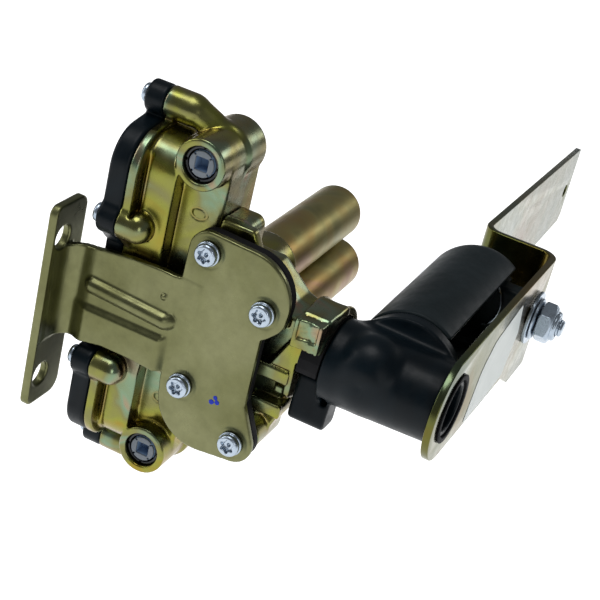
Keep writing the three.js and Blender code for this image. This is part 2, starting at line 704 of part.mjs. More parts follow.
function leverHood() {
  const { x, radius, wall, fromY, toY, mouth } = hood;
  const from = fromY + 1.4;
  const body = turned("y", x, crank.z, [
    [0, from], [radius, from], [radius, toY - 11], [radius - 2.6, toY - 4.6],
    [radius - 7.6, toY - 1], [radius - 12, toY], [0, toY],
  ], 28);
  const inside = turned("y", x, crank.z, [
    [0, from + wall], [radius - wall, from + wall], [radius - wall, toY - 13],
    [radius - wall - 7, toY - wall], [0, toY - wall],
  ], 24);
  const reach = 40;
  const wedge = prism(
    polygon([
      [x + 4, 0],
      [x + reach * Math.cos(mouth), reach * Math.sin(mouth)],
      [x + reach, reach * Math.sin(mouth)],
      [x + reach, -reach * Math.sin(mouth)], [x + reach * Math.cos(mouth), -reach * Math.sin(mouth)],
    ]),
    "y", from - 1, toY + 1,
  );
  const seat = block(
    [x - 2, bracket.outerX - bracket.thick - GAP], [bolt.y - 9, toY], [bolt.z - 12, bolt.z + 12],
  );
  const boltHole = rod("x", bolt.y, bolt.z, m8.clear, x - 12, 90, 12);
  const headRoom = rod("x", bolt.y, bolt.z, 8.4, x - 21, x - 1, 16);
  return cut(join(cut(body, inside, wedge), seat), boltHole, headRoom);
}

function rearBracket() {
  const { outerX, thick, endRadius, crossY, armX, bend, tipY } = bracket;
  const sideX = outerX - thick / 2;
  const profile = strip([[sideX, -4], [sideX, crossY], [armX, crossY], [armX, tipY]], bend, thick);
  const tall = prism(profile, "z", -34, 21);
  const outline = new THREE.Shape();
  outline.moveTo(crank.y, 20.8);
  outline.absarc(crank.y, crank.z, endRadius, Math.PI / 2, (3 * Math.PI) / 2, false);
  outline.lineTo(104, -23.5);
  outline.lineTo(120, -33);
  outline.lineTo(168, -33);
  outline.lineTo(tipY - 3, -30.5);
  outline.lineTo(tipY + 1, -26);
  outline.lineTo(tipY + 1, 11.8);
  outline.lineTo(150, 19.4);
  const trimmed = tall.intersect(prism(outline, "x", armX - 20, outerX + 5, 20));
  return cut(
    trimmed,
    rod("x", crank.y, crank.z, bushHole, outerX - 10, outerX + 2, 24),
    rod("x", bolt.y, bolt.z, m8.clear, outerX - 10, outerX + 2, 12),
    rod("x", tipY - 9, -10, 3.4, armX - 5, armX + 5, 12),
  );
}

function bracketBush() {
  const { outerX, thick } = bracket;
  return turned("x", crank.y, crank.z, [
    [11.75, outerX - thick], [bushHole - 0.15, outerX - thick], [bushHole - 0.15, outerX + 0.2],
    [bushHole + 0.5, outerX + GAP], [bushHole + 0.5, outerX + 0.9], [11.75, outerX + 0.9],
    [11.75, outerX - thick],
  ], 20);
}

function clampBolt() {
  const headX = hood.x - 4.5;
  const hex = Array.from({ length: 6 }, (_, k) => {
    const angle = (k * Math.PI) / 3;
    const r = m8.flats / Math.sqrt(3);
    return [bolt.y + r * Math.cos(angle), bolt.z + r * Math.sin(angle)];
  });
  return join(
    prism(polygon(hex), "x", headX - 3, headX + 2.2),
    turned("x", bolt.y, bolt.z, [
      [0, headX + 2], [m8.shank, headX + 2], [m8.shank, 101.4], [m8.shank - 0.9, 102.4], [0, 102.4],
    ], 12),
  );
}

function washer(fromX, thick, radius, crown = 0) {
  return turned("x", bolt.y, bolt.z, [
    [m8.clear, fromX], [radius, fromX], [radius, fromX + thick], [m8.clear + 3.6, fromX + thick + crown],
    [m8.clear, fromX + thick + crown], [m8.clear, fromX],
  ], 16);
}

function lockNut(fromX) {
  const r = nutFlats / Math.sqrt(3);
  const hex = Array.from({ length: 6 }, (_, k) => {
    const angle = (k * Math.PI) / 3 + 0.35;
    return [bolt.y + r * Math.cos(angle), bolt.z + r * Math.sin(angle)];
  });
  const chamfer = turned("x", bolt.y, bolt.z, [
    [0, fromX], [r - 0.7, fromX], [r + 0.2, fromX + 0.8], [r + 0.2, fromX + 5.2], [r - 1.1, fromX + 6],
    [5.9, fromX + 6.4], [5.6, fromX + m8.nutHigh - 0.5], [4.9, fromX + m8.nutHigh], [0, fromX + m8.nutHigh],
  ], 16);
  return cut(
    prism(polygon(hex), "x", fromX, fromX + m8.nutHigh + 1).intersect(chamfer),
    rod("x", bolt.y, bolt.z, m8.clear - 0.1, fromX - 1, fromX + m8.nutHigh + 2, 12),
  );
}

function ratingLabel() {
  const x = bracket.outerX + 0.05;
  return prism(
    rounded([[50, -21, 2], [62, 9, 6], [100, 15, 3], [108, -2, 3], [100, -20.5, 3]]),
    "x", x, x + 0.35,
  );
}

// ---------------------------------------------------------------- materials and assembly
const finish = (color, metalness, roughness) =>
  new THREE.MeshStandardMaterial({ color, metalness, roughness });
const finishes = {
  olive: finish(0x85825a, 0.85, 0.42),
  casting: finish(0xb59a3c, 0.95, 0.25),
  tube: finish(0xa08a5e, 0.9, 0.35),
  bracket: finish(0xa0a070, 0.9, 0.32),
  plastic: finish(0x141c26, 0.0, 0.38),
  hood: finish(0x343c42, 0.0, 0.55),
  rubber: finish(0x0d0d0e, 0.0, 0.8),
  zinc: finish(0xaab6c2, 1.0, 0.25),
  steel: finish(0x8c8f92, 1.0, 0.35),
  drive: finish(0x7d8ea3, 0.1, 0.4),
  bronze: finish(0xa77a45, 0.9, 0.4),
  label: finish(0xd9ddd8, 0.0, 0.5),
};

const valve = new THREE.Group();
valve.name = "zone_valve_actuator";
valve.position.set(-flange.outerX, -(flange.frontY + flange.backY) / 2, -(flange.top + flange.bottom) / 2);

function group(name, parent = valve) {
  const made = new THREE.Group();
  made.name = name;
  parent.add(made);
  return made;
}

function place(parent, name, body, material) {
  const mesh = body.simplify(FINEST).getMesh();
  const geometry = new THREE.BufferGeometry();
  const positions = new Float32Array(mesh.numVert * 3);
  for (let i = 0; i < mesh.numVert; i++) {
    positions.set(mesh.vertProperties.subarray(i * mesh.numProp, i * mesh.numProp + 3), i * 3);
  }
  geometry.setAttribute("position", new THREE.BufferAttribute(positions, 3));
  geometry.setIndex(new THREE.BufferAttribute(mesh.triVerts, 1));
  geometry.computeVertexNormals();
  const piece = new THREE.Mesh(geometry, finishes[material]);
  piece.name = name;
  parent.add(piece);
}

const mounting = group("mounting");
place(mounting, "mounting_bracket", mountingBracket(), "olive");
place(mounting, "isolator_pad", isolatorPad(), "rubber");
plateScrews.forEach((screw, i) => place(mounting, `plate_screw_${i + 1}`, plateScrew(screw), "zinc"));

for (const [name, side] of Object.entries(SIDES)) {
  const unit = group(`${name}_reducer`);
  place(unit, `${name}_gear_housing`, gearHousing(side), "casting");
  place(unit, `${name}_gear_cover`, gearCover(side), "plastic");
  ears.forEach(({ y, z }, i) => place(unit, `${name}_cover_screw_${i + 1}`, coverScrew(y, side * z), "zinc"));
  place(unit, `${name}_port_bush`, portBush(side), "steel");
  place(unit, `${name}_drive_worm`, driveWorm(side), "drive");
  place(unit, `${name}_wheel_shaft`, wheelShaft(side), "bronze");
  place(unit, `${name}_output_shaft`, outputShaft(side, name), "steel");
  place(unit, `${name}_rack`, rack(side, name), "steel");
  place(unit, `${name}_return_spring`, returnSpring(side, name), "steel");
  place(unit, `${name}_guide_tube`, guideTube(side, name), "tube");
}

const middle = group("middle");
place(middle, "centre_casting", centreCasting(), "casting");
place(middle, "pivot_bush", pivotBush(), "rubber");

const lever = group("crank_lever");
place(lever, "crank_pinion_shaft", crankShaft(), "steel");
place(lever, "crank_arm", crankArm(), "plastic");
place(lever, "lever_hood", leverHood(), "hood");
place(lever, "rear_bracket", rearBracket(), "bracket");
place(lever, "bracket_bush", bracketBush(), "rubber");
place(lever, "clamp_bolt", clampBolt(), "zinc");
place(lever, "wide_washer", washer(bracket.outerX + GAP, 1.6, 12), "zinc");
place(lever, "cone_washer", washer(bracket.outerX + 1.6 + 2 * GAP, 1.2, 9.5, 0.5), "zinc");
place(lever, "lock_nut", lockNut(bracket.outerX + 4.4), "zinc");
place(lever, "rating_label", ratingLabel(), "label");

export default valve;
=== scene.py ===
# Looks of the zone valve actuator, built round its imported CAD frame. Blender 4.5, metres.
# Cast, moulded and pressed pieces are drawn as distance fields on a grid, in millimetres about a working
# origin: the front plate's front face, level with the crank's axis. surface() turns a field into a mesh.
import json
import math

import bmesh
import bpy
import numpy as np
from mathutils import Euler, Matrix, Vector


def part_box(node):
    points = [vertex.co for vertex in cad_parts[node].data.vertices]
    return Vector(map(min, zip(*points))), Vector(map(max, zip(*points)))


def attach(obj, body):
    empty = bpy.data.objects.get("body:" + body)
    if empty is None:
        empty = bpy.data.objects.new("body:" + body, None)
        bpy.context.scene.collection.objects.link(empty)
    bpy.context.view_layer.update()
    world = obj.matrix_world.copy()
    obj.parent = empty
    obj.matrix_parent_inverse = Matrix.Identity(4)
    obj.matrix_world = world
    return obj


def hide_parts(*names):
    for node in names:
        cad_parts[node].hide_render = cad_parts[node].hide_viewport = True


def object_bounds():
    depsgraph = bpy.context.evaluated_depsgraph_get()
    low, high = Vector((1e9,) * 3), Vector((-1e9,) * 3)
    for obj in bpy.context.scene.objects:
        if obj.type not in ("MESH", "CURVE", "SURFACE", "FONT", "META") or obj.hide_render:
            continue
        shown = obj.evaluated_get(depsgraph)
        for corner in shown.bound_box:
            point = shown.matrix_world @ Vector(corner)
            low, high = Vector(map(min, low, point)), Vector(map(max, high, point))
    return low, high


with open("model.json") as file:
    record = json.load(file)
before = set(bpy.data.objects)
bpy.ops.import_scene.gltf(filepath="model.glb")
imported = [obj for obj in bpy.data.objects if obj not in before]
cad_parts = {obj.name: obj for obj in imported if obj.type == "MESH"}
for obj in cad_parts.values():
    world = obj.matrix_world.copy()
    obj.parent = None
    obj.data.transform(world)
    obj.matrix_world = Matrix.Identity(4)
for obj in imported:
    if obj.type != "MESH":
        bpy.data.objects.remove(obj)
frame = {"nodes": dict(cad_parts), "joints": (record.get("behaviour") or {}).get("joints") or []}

CAD_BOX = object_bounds()
MM = 0.001

# ------------------------------------------------------------------ driving dimensions, mm
CRANK_Y = 22.5
FLANGE_X = -73.5
FLANGE_THICK = 3.6
PLATE_THICK = 3.0
PORT_X, PORT_Z = -25.0, 63.6
TUBE_Z = 11.8
RACK_BORE = 8.9
OUTPUT_Z, PINION_ROOM = 26.6, 9.5
TUBE_X = {"upper": -9.3, "lower": -3.9}
SIDES = {"upper": 1, "lower": -1}
ARM_EDGE = {"upper": 19.2, "lower": 24.0}
ARM_TOP = ((-80, 13.5), (-66, 15.3), (-55, 17.3), (-42, 18.8), (-29, 19.2), (-12, 18.2))
ARM_BOTTOM = ((-12, -24.5), (-26, -22.5), (-36, -21.8), (-48, -21.8), (-59, -23.9), (-66, -25), (-80, -27))
EARS = ((-0.6, 31.65, 6.3, -37.0), (21.5, 75.4, 6.5, -34.0), (42.5, 14.0, 6.0, -40.0))
PLATE_SCREWS = ((-13.0, 32.9), (13.5, 18.3), (-13.0, -25.2), (13.0, -40.2))
LOBE_SMALL, LOBE_LARGE, PLATE_HALF = 8.5, 9.3, 14.6
PLATE_CORNERS = ((4.8, 22.2, 18.3), (-2.5, -31.2, 19.2))
HOOD_X, HOOD_R = 62.0, 22.6
BRACKET_X = 87.4
BOLT_Y, BOLT_Z = 127.0, -2.2
CLEAR = 0.3

swing = next(j for j in frame["joints"] if j["name"] == "crank_swing")
HOME = np.array([
    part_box("mounting_bracket")[0].x / MM - FLANGE_X,
    swing["pos_m"][1] / MM - CRANK_Y,
    swing["pos_m"][2] / MM,
])
COARSE = 1.0


# ------------------------------------------------------------------ distance fields
class Grid:
    """A box of space sampled every step millimetres, with x, y and z as arrays that broadcast together."""

    def __init__(self, low, high, step):
        self.step = step * COARSE
        self.low = np.array(low, np.float32)
        counts = np.ceil((np.array(high) - self.low) / self.step).astype(int) + 1
        x, y, z = (self.low[k] + self.step * np.arange(counts[k], dtype=np.float32) for k in range(3))
        self.x, self.y, self.z = x[:, None, None], y[None, :, None], z[None, None, :]
        self.shape = tuple(counts)


def outline(a, b, corners):
    """Distance to a closed outline in the plane of a and b."""
    nearest = np.float32(1e9)
    sign = np.float32(1)
    for i, (ax, ay) in enumerate(corners):
        bx, by = corners[i - 1]
        ex, ey = bx - ax, by - ay
        wx, wy = a - ax, b - ay
        t = np.clip((wx * ex + wy * ey) / (ex * ex + ey * ey), 0, 1)
        nearest = np.minimum(nearest, (wx - ex * t) ** 2 + (wy - ey * t) ** 2)
        above, below, left = b >= ay, b < by, ex * wy > ey * wx
        sign = np.where((above & below & left) | (~above & ~below & ~left), -sign, sign)
    return sign * np.sqrt(nearest)


def rounded(corners):
    """Points of a closed outline through corners (a, b, radius), each corner rounded by its own radius."""
    points = []
    for i, (a, b, radius) in enumerate(corners):
        here = Vector((a, b))
        back = (Vector(corners[i - 1][:2]) - here).normalized()
        ahead = (Vector(corners[(i + 1) % len(corners)][:2]) - here).normalized()
        half = math.acos(max(-1, min(1, back.dot(ahead)))) / 2
        if radius <= 0:
            points.append((a, b))
            continue
        centre = here + (back + ahead).normalized() * radius / math.sin(half)
        start = here + back * radius / math.tan(half) - centre
        turn = start.angle_signed(here + ahead * radius / math.tan(half) - centre)
        steps = max(3, round(abs(turn) * radius))
        for k in range(steps + 1):
            spot = centre + Matrix.Rotation(-turn * k / steps, 2) @ start
            points.append((spot.x, spot.y))
    return points


def trail(a, b, points):
    """Distance to an open line of points in the plane of a and b."""
    nearest = np.float32(1e9)
    for (ax, ay), (bx, by) in zip(points, points[1:]):
        ex, ey = bx - ax, by - ay
        t = np.clip(((a - ax) * ex + (b - ay) * ey) / (ex * ex + ey * ey), 0, 1)
        nearest = np.minimum(nearest, (a - ax - ex * t) ** 2 + (b - ay - ey * t) ** 2)
    return np.sqrt(nearest)


def round_bar(g, start, end, radius, end_radius=None):
    """Distance to a bar with round ends between two points, with a taper if end_radius is given."""
    end_radius = radius if end_radius is None else end_radius
    d = [e - s for s, e in zip(start, end)]
    w = [g.x - start[0], g.y - start[1], g.z - start[2]]
    t = np.clip(sum(p * q for p, q in zip(w, d)) / sum(q * q for q in d), 0, 1)
    return np.sqrt(sum((p - q * t) ** 2 for p, q in zip(w, d))) - (radius + (end_radius - radius) * t)


def push(flat, along, low, high, edge=0.6):
    """A flat shape's distance pushed along the third axis from low to high, with rounded edges."""
    side = flat + edge
    end = np.abs(along - (low + high) / 2) - (high - low) / 2 + edge
    return np.minimum(np.maximum(side, end), 0) + np.hypot(np.maximum(side, 0), np.maximum(end, 0)) - edge


def circle(a, b, at_a, at_b, radius):
    return np.hypot(a - at_a, b - at_b) - radius


def rectangle(a, b, low, high, corner=0.0):
    da = np.abs(a - (low[0] + high[0]) / 2) - (high[0] - low[0]) / 2 + corner
    db = np.abs(b - (low[1] + high[1]) / 2) - (high[1] - low[1]) / 2 + corner
    return np.minimum(np.maximum(da, db), 0) + np.hypot(np.maximum(da, 0), np.maximum(db, 0)) - corner


def box(g, x, y, z, edge=0.6):
    return push(rectangle(g.x, g.z, (x[0], z[0]), (x[1], z[1]), edge), g.y, y[0], y[1], edge)


def melt(first, second, reach):
    """Both shapes, with a fillet of about that reach where they meet."""
    h = np.clip(0.5 + 0.5 * (second - first) / reach, 0, 1)
    return second * (1 - h) + first * h - reach * h * (1 - h)


def carve(body, tool, reach=0.3):
    """The body without the tool, with the new edges eased."""
    return -melt(-body, tool, reach)


def keep(body, other, reach=0.3):
    """What the body and the other shape have in common."""
    return -melt(-body, -other, reach)


def surface(field):
    """Quads where a field crosses zero: one point in each cell of the grid that the surface passes."""
    cells = np.array(field.shape) - 1
    total = np.zeros((*cells, 3), np.float32)
    count = np.zeros(cells, np.float32)
    crossings = []
    for axis in range(3):
        f = np.moveaxis(field, axis, 0)
        crossing = (f[:-1] < 0) != (f[1:] < 0)
        share = np.where(crossing, f[:-1] / np.where(crossing, f[:-1] - f[1:], 1), 0)
        crossings.append((crossing, f[:-1] < 0))
        u, v = (k for k in range(3) if k != axis)
        for du in (0, 1):
            for dv in (0, 1):
                window = (slice(None), slice(du, du + cells[u]), slice(dv, dv + cells[v]))
                there = np.moveaxis(crossing[window], 0, axis)
                total[..., axis] += np.moveaxis(share[window], 0, axis)
                total[..., u] += there * du
                total[..., v] += there * dv
                count += there
    used = count > 0
    index = np.full(cells, -1)
    index[used] = np.arange(used.sum())
    points = np.argwhere(used) + total[used] / count[used][:, None]
    quads = []
    for axis, (crossing, from_inside) in enumerate(crossings):
        i, j, k = (np.argwhere(crossing[:, 1:-1, 1:-1]) + (0, 1, 1)).T
        cell = np.moveaxis(index, axis, 0)
        quad = np.stack([cell[i, j - 1, k - 1], cell[i, j, k - 1], cell[i, j, k], cell[i, j - 1, k]], 1)
        outward = from_inside[i, j, k] ^ (axis == 1)
        quads.append(np.where(outward[:, None], quad, quad[:, ::-1]))
    return points, np.concatenate(quads)


# ------------------------------------------------------------------ pieces
def to_world(points):
    return (np.asarray(points, float) + HOME) * MM


def add_mesh(name, points, faces, body, material, replaces=()):
    """A piece from points in working millimetres, which rides on a body and has a material."""
    mesh = bpy.data.meshes.new(name)
    mesh.from_pydata(to_world(points).tolist(), [], np.asarray(faces).tolist())
    mesh.polygons.foreach_set("use_smooth", [True] * len(mesh.polygons))
    mesh.validate()
    piece = bpy.data.objects.new(name, mesh)
    bpy.context.scene.collection.objects.link(piece)
    return dress(piece, body, material, replaces)


def dress(piece, body, material, replaces=()):
    piece.data.materials.clear()
    piece.data.materials.append(material)
    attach(piece, body)
    if replaces:
        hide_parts(*replaces)
    return piece


def add_field(name, grid, field, body, material, replaces=()):
    points, quads = surface(np.broadcast_to(field, grid.shape).astype(np.float32))
    return add_mesh(name, grid.low + points * grid.step, quads, body, material, replaces)


def add_lathe(name, axis, u, v, profile, body, material, replaces=(), segments=72):
    """A profile of (radius, distance along the axis) points turned about an X or Y axis through (u, v)."""
    ring = []
    for radius, along in profile:
        for k in range(segments):
            angle = 2 * math.pi * k / segments
            c, s = radius * math.cos(angle), radius * math.sin(angle)
            ring.append((along, u + c, v + s) if axis == "x" else (u + c, along, v + s))
    faces = []
    for i in range(len(profile)):
        j = (i + 1) % len(profile)
        for k in range(segments):
            n = (k + 1) % segments
            faces.append((i * segments + k, i * segments + n, j * segments + n, j * segments + k))
    piece = add_mesh(name, ring, faces, body, material, replaces)
    clean(piece, 0.00001)
    return piece


def clean(piece, distance):
    """Merges points that coincide, drops faces with no area and turns the faces outwards."""
    shape = bmesh.new()
    shape.from_mesh(piece.data)
    bmesh.ops.remove_doubles(shape, verts=shape.verts, dist=distance)
    bmesh.ops.dissolve_degenerate(shape, edges=shape.edges, dist=distance)
    bmesh.ops.recalc_face_normals(shape, faces=shape.faces)
    shape.to_mesh(piece.data)
    shape.free()
    piece.data.set_sharp_from_angle(angle=math.radians(38))


def eased_copy(node, body, material, width, angle=28):
    """A piece in the shape of a CAD node with every sharp edge bevelled."""
    piece = bpy.data.objects.new(node + "_finished", frame["nodes"][node].data.copy())
    bpy.context.scene.collection.objects.link(piece)
    shape = bmesh.new()
    shape.from_mesh(piece.data)
    bmesh.ops.remove_doubles(shape, verts=shape.verts, dist=0.00002)
    bmesh.ops.dissolve_limit(
        shape, verts=shape.verts, edges=shape.edges, angle_limit=math.radians(1.0)
    )
    shape.to_mesh(piece.data)
    shape.free()
    bevel = piece.modifiers.new("bevel", "BEVEL")
    bevel.width = width * MM
    bevel.segments = 3
    bevel.limit_method = "ANGLE"
    bevel.angle_limit = math.radians(angle)
    bevel.harden_normals = False
    piece.data = bpy.data.meshes.new_from_object(
        piece.evaluated_get(bpy.context.evaluated_depsgraph_get())
    )
    piece.modifiers.clear()
    piece.data.polygons.foreach_set("use_smooth", [True] * len(piece.data.polygons))
    piece.data.set_sharp_from_angle(angle=math.radians(38))
    return dress(piece, body, material, (node,))


# ------------------------------------------------------------------ materials
class Paint:
    """A material with a principled shader, and short ways to add the nodes that feed it."""

    def __init__(self, name, color, metallic=0.0, roughness=0.5, specular=0.5):
        self.material = bpy.data.materials.new(name)
        self.material.use_nodes = True
        self.tree = self.material.node_tree
        self.shader = self.tree.nodes["Principled BSDF"]
        self.shader.inputs["Base Color"].default_value = (*color, 1)
        self.shader.inputs["Metallic"].default_value = metallic
        self.shader.inputs["Roughness"].default_value = roughness
        self.shader.inputs["Specular IOR Level"].default_value = specular
        self.place = self.add("ShaderNodeTexCoord").outputs["Object"]

    def add(self, kind, links=None, **values):
        node = self.tree.nodes.new(kind)
        for key, value in values.items():
            setattr(node, key, value)
        for socket, source in (links or {}).items():
            if hasattr(source, "is_linked"):
                self.tree.links.new(source, node.inputs[socket])
            else:
                node.inputs[socket].default_value = source
        return node

    def noise(self, scale, detail=2.0, roughness=0.5, distortion=0.0, stretch=None):
        place = self.place
        if stretch:
            place = self.add("ShaderNodeMapping", {"Vector": place, "Scale": stretch}).outputs["Vector"]
        return self.add(
            "ShaderNodeTexNoise",
            {"Vector": place, "Scale": scale, "Detail": detail, "Roughness": roughness,
             "Distortion": distortion},
        ).outputs["Fac"]

    def ramp(self, source, stops):
        node = self.add("ShaderNodeValToRGB", {"Fac": source})
        elements = node.color_ramp.elements
        while len(elements) < len(stops):
            elements.new(0.5)
        for element, (at, color) in zip(elements, stops):
            element.position = at
            element.color = (*color, 1) if hasattr(color, "__len__") else (color, color, color, 1)
        return node.outputs["Color"]

    def mix(self, factor, a, b, mode="MIX"):
        node = self.add("ShaderNodeMix", data_type="RGBA", blend_type=mode)
        for socket, source in zip((node.inputs[0], node.inputs[6], node.inputs[7]), (factor, a, b)):
            if hasattr(source, "is_linked"):
                self.tree.links.new(source, socket)
            else:
                socket.default_value = (*source, 1) if hasattr(source, "__len__") else source
        return node.outputs[2]

    def number(self, source, low, high, from_low=0.3, from_high=0.7):
        return self.add(
            "ShaderNodeMapRange",
            {"Value": source, "From Min": from_low, "From Max": from_high, "To Min": low, "To Max": high},
        ).outputs["Result"]

    def bumps(self, *layers):
        """Bump layers as (noise, strength, distance in mm), the first one innermost."""
        normal = None
        for source, strength, distance in layers:
            links = {"Height": source, "Strength": strength, "Distance": distance * MM}
            if normal:
                links["Normal"] = normal
            normal = self.add("ShaderNodeBump", links).outputs["Normal"]
        self.tree.links.new(normal, self.shader.inputs["Normal"])

    def feed(self, socket, source):
        self.tree.links.new(source, self.shader.inputs[socket])


def chromate(name, palette, rough, ripple, hollow_shade_color=(0.30, 0.17, 0.05), patch=38):
    """Chromate plating: a metal whose colour drifts between the palette's colours and darkens in corners,
    which is painted shade.
    """
    paint = Paint(name, palette[0], metallic=1.0)
    drift = paint.noise(patch, 2.5, 0.55, 0.8)
    stops = [(0.30 + 0.42 * k / (len(palette) - 1), c) for k, c in enumerate(palette)]
    film = paint.ramp(drift, stops)
    facing = paint.add("ShaderNodeLayerWeight", {"Blend": 0.35}).outputs["Facing"]
    edge_film = paint.mix(paint.number(facing, 0.0, 0.55, 0.25, 0.95), film, palette[-1])
    # Painted shade: where pointiness is low, in hollows and corners, the colour is mixed towards a dark
    # orange-brown.
    hollow_shade_mask = paint.number(paint.add("ShaderNodeNewGeometry").outputs["Pointiness"], 0.85, 0.0, 0.40, 0.495)
    shaded_film = paint.mix(hollow_shade_mask, edge_film, hollow_shade_color)
    paint.feed("Base Color", shaded_film)
    paint.feed("Roughness", paint.number(paint.noise(140, 3.0), rough[0], rough[1]))
    paint.bumps(
        (paint.noise(95, 1.5), ripple, 0.35),
        (paint.noise(1300, 3.0, 0.6), 0.12, 0.03),
    )
    return paint.material


def sheet_plating(name, palette, rough, grain, mottle=24):
    """Chromate on rolled sheet: fine specks, slow colour drift and shallow rolling marks."""
    paint = Paint(name, palette[0], metallic=1.0)
    drift = paint.noise(mottle, 3.0, 0.6, 0.5)
    base = paint.ramp(drift, [(0.30 + 0.40 * k / (len(palette) - 1), c) for k, c in enumerate(palette)])
    specks = paint.ramp(paint.noise(260, 5.0, 0.75), [(0.30, 0.88), (0.60, 1.0)])
    paint.feed("Base Color", paint.mix(1.0, base, specks, "MULTIPLY"))
    paint.feed("Roughness", paint.number(paint.noise(160, 4.0, 0.65), rough[0], rough[1]))
    paint.bumps(
        (paint.noise(60, 2.0), 0.10, 0.3),
        (paint.noise(800, 4.0, 0.7), grain, 0.05),
    )
    return paint.material


def plastic(name, color, pale, rough, grain=0.18):
    """Moulded plastic: faint paler flow marks, a fine moulded texture and uneven gloss."""
    paint = Paint(name, color, roughness=rough[0], specular=0.14)
    flow = paint.noise(26, 3.0, 0.6, 1.2)
    paint.feed("Base Color", paint.mix(paint.number(flow, 0.0, 1.0, 0.42, 0.75), color, pale))
    paint.feed("Roughness", paint.number(paint.noise(180, 4.0, 0.7), rough[0], rough[1]))
    paint.bumps(
        (paint.noise(70, 2.0), 0.10, 0.25),
        (paint.noise(1500, 3.0, 0.6), grain, 0.04),
    )
    return paint.material


def machined(name, color, rough, stretch, tint=(0.8, 0.8, 0.8)):
    """Turned or drawn metal with marks along one direction."""
    paint = Paint(name, color, metallic=1.0)
    marks = paint.noise(300, 3.0, 0.6, 0.0, stretch)
    paint.feed("Base Color", paint.mix(marks, color, tuple(c * t for c, t in zip(color, tint))))
    paint.feed("Roughness", paint.number(marks, rough[0], rough[1]))
    paint.bumps((marks, 0.15, 0.03))
    return paint.material


GOLD = (0.250, 0.190, 0.030)
LIME = (0.210, 0.215, 0.045)
SAGE = (0.165, 0.235, 0.150)
OLIVE = (0.170, 0.165, 0.065)
ROSE = (0.330, 0.180, 0.115)
PALE = (0.340, 0.290, 0.110)
TAN = (0.340, 0.225, 0.070)
PLATE_FILM = ((0.118, 0.119, 0.050), (0.146, 0.149, 0.070), (0.178, 0.180, 0.092))
STRIP_FILM = ((0.150, 0.085, 0.008), (0.105, 0.108, 0.030), (0.062, 0.098, 0.070))

looks = {
    "casting": chromate("chromate_casting", (GOLD, LIME, OLIVE, SAGE, ROSE), (0.20, 0.34), 0.22),
    "tube": chromate("chromate_tube", (ROSE, TAN, PALE, OLIVE), (0.34, 0.46), 0.10, patch=30),
    "plate": sheet_plating("olive_plated_steel", PLATE_FILM, (0.26, 0.44), 0.30),
    "strip": sheet_plating("gold_plated_steel", STRIP_FILM, (0.16, 0.28), 0.16, mottle=16),
    "zinc": machined("blue_zinc_steel", (0.42, 0.48, 0.54), (0.20, 0.36), (1, 1, 1), (0.72, 0.76, 0.82)),
    "steel": machined("plain_steel", (0.34, 0.34, 0.35), (0.25, 0.42), (1, 0.2, 1)),
    "dark": machined("dark_steel", (0.045, 0.047, 0.05), (0.25, 0.45), (1, 1, 1)),
    "bronze": machined("bronze", (0.36, 0.22, 0.09), (0.25, 0.4), (1, 1, 1)),
    "black": plastic("black_plastic", (0.0008, 0.0032, 0.0052), (0.002, 0.007, 0.011), (0.30, 0.46)),
    "slate": plastic("slate_plastic", (0.007, 0.012, 0.014), (0.013, 0.020, 0.023), (0.38, 0.54), 0.26),
    "rubber": plastic("black_rubber", (0.003, 0.003, 0.004), (0.007, 0.007, 0.008), (0.60, 0.78), 0.3),
    "drive": plastic("grey_polymer", (0.17, 0.26, 0.40), (0.23, 0.33, 0.46), (0.30, 0.45)),
    "label": plastic("paper_label", (0.60, 0.64, 0.62), (0.68, 0.71, 0.69), (0.34, 0.48), 0.08),
    "paint": plastic("blue_paint", (0.010, 0.028, 0.36), (0.018, 0.05, 0.46), (0.25, 0.4), 0.1),
    "nylon": plastic("nylon_insert", (0.15, 0.17, 0.19), (0.20, 0.22, 0.25), (0.4, 0.5)),
}
NODE_LOOKS = {
    "worm": "drive", "wheel_shaft": "bronze", "output_shaft": "steel", "rack": "steel",
    "return_spring": "steel", "crank_pinion_shaft": "steel", "pivot_bush": "rubber",
    "isolator_pad": "rubber", "bracket_bush": "rubber", "port_bush": "dark", "guide_tube": "tube",
    "washer": "zinc", "screw": "zinc", "nut": "zinc", "bolt": "zinc", "label": "label",
}
for name, node in frame["nodes"].items():
    look = next((value for key, value in NODE_LOOKS.items() if key in name), "casting")
    node.data.materials.clear()
    node.data.materials.append(looks[look])


# ------------------------------------------------------------------ mounting side
def belt(a, b, first, second):
    """Two circles, each (a, b, radius), joined by their outer tangents."""
    along = math.atan2(second[1] - first[1], second[0] - first[0])
    lean = math.acos((first[2] - second[2]) / math.hypot(second[0] - first[0], second[1] - first[1]))
    web = [
        (p + r * math.cos(along + s * lean), q + r * math.sin(along + s * lean))
        for p, q, r, s in ((*first, 1), (*first, -1), (*second, -1), (*second, 1))
    ]
    return np.minimum(outline(a, b, web), np.minimum(circle(a, b, *first), circle(a, b, *second)))


def plate_outline(g, inset):
    """The front plate in the plane of x and z: a lobe at each screw and two wide corners."""
    radii = (LOBE_SMALL, LOBE_LARGE, LOBE_LARGE, LOBE_SMALL)
    lobes = [(x, z, radius - inset) for (x, z), radius in zip(PLATE_SCREWS, radii)]
    top, bottom = ((x, z, radius - inset) for x, z, radius in PLATE_CORNERS)
    first, second, third, fourth = lobes
    half = PLATE_HALF - inset
    shape = outline(g.x, g.z, [
        (-half, first[1]), (half, second[1]), (half, fourth[1]), (-half, third[1]),
    ])
    for pair in ((first, second), (first, top), (second, top), (first, third), (third, fourth),
                 (third, bottom), (fourth, bottom)):
        shape = np.minimum(shape, belt(g.x, g.z, *pair))
    return shape


def ramp(value, start, end):
    """A smooth change from 0 at start to 1 at end."""
    t = np.clip((value - start) / (end - start), 0, 1)
    return t * t * (3 - 2 * t)


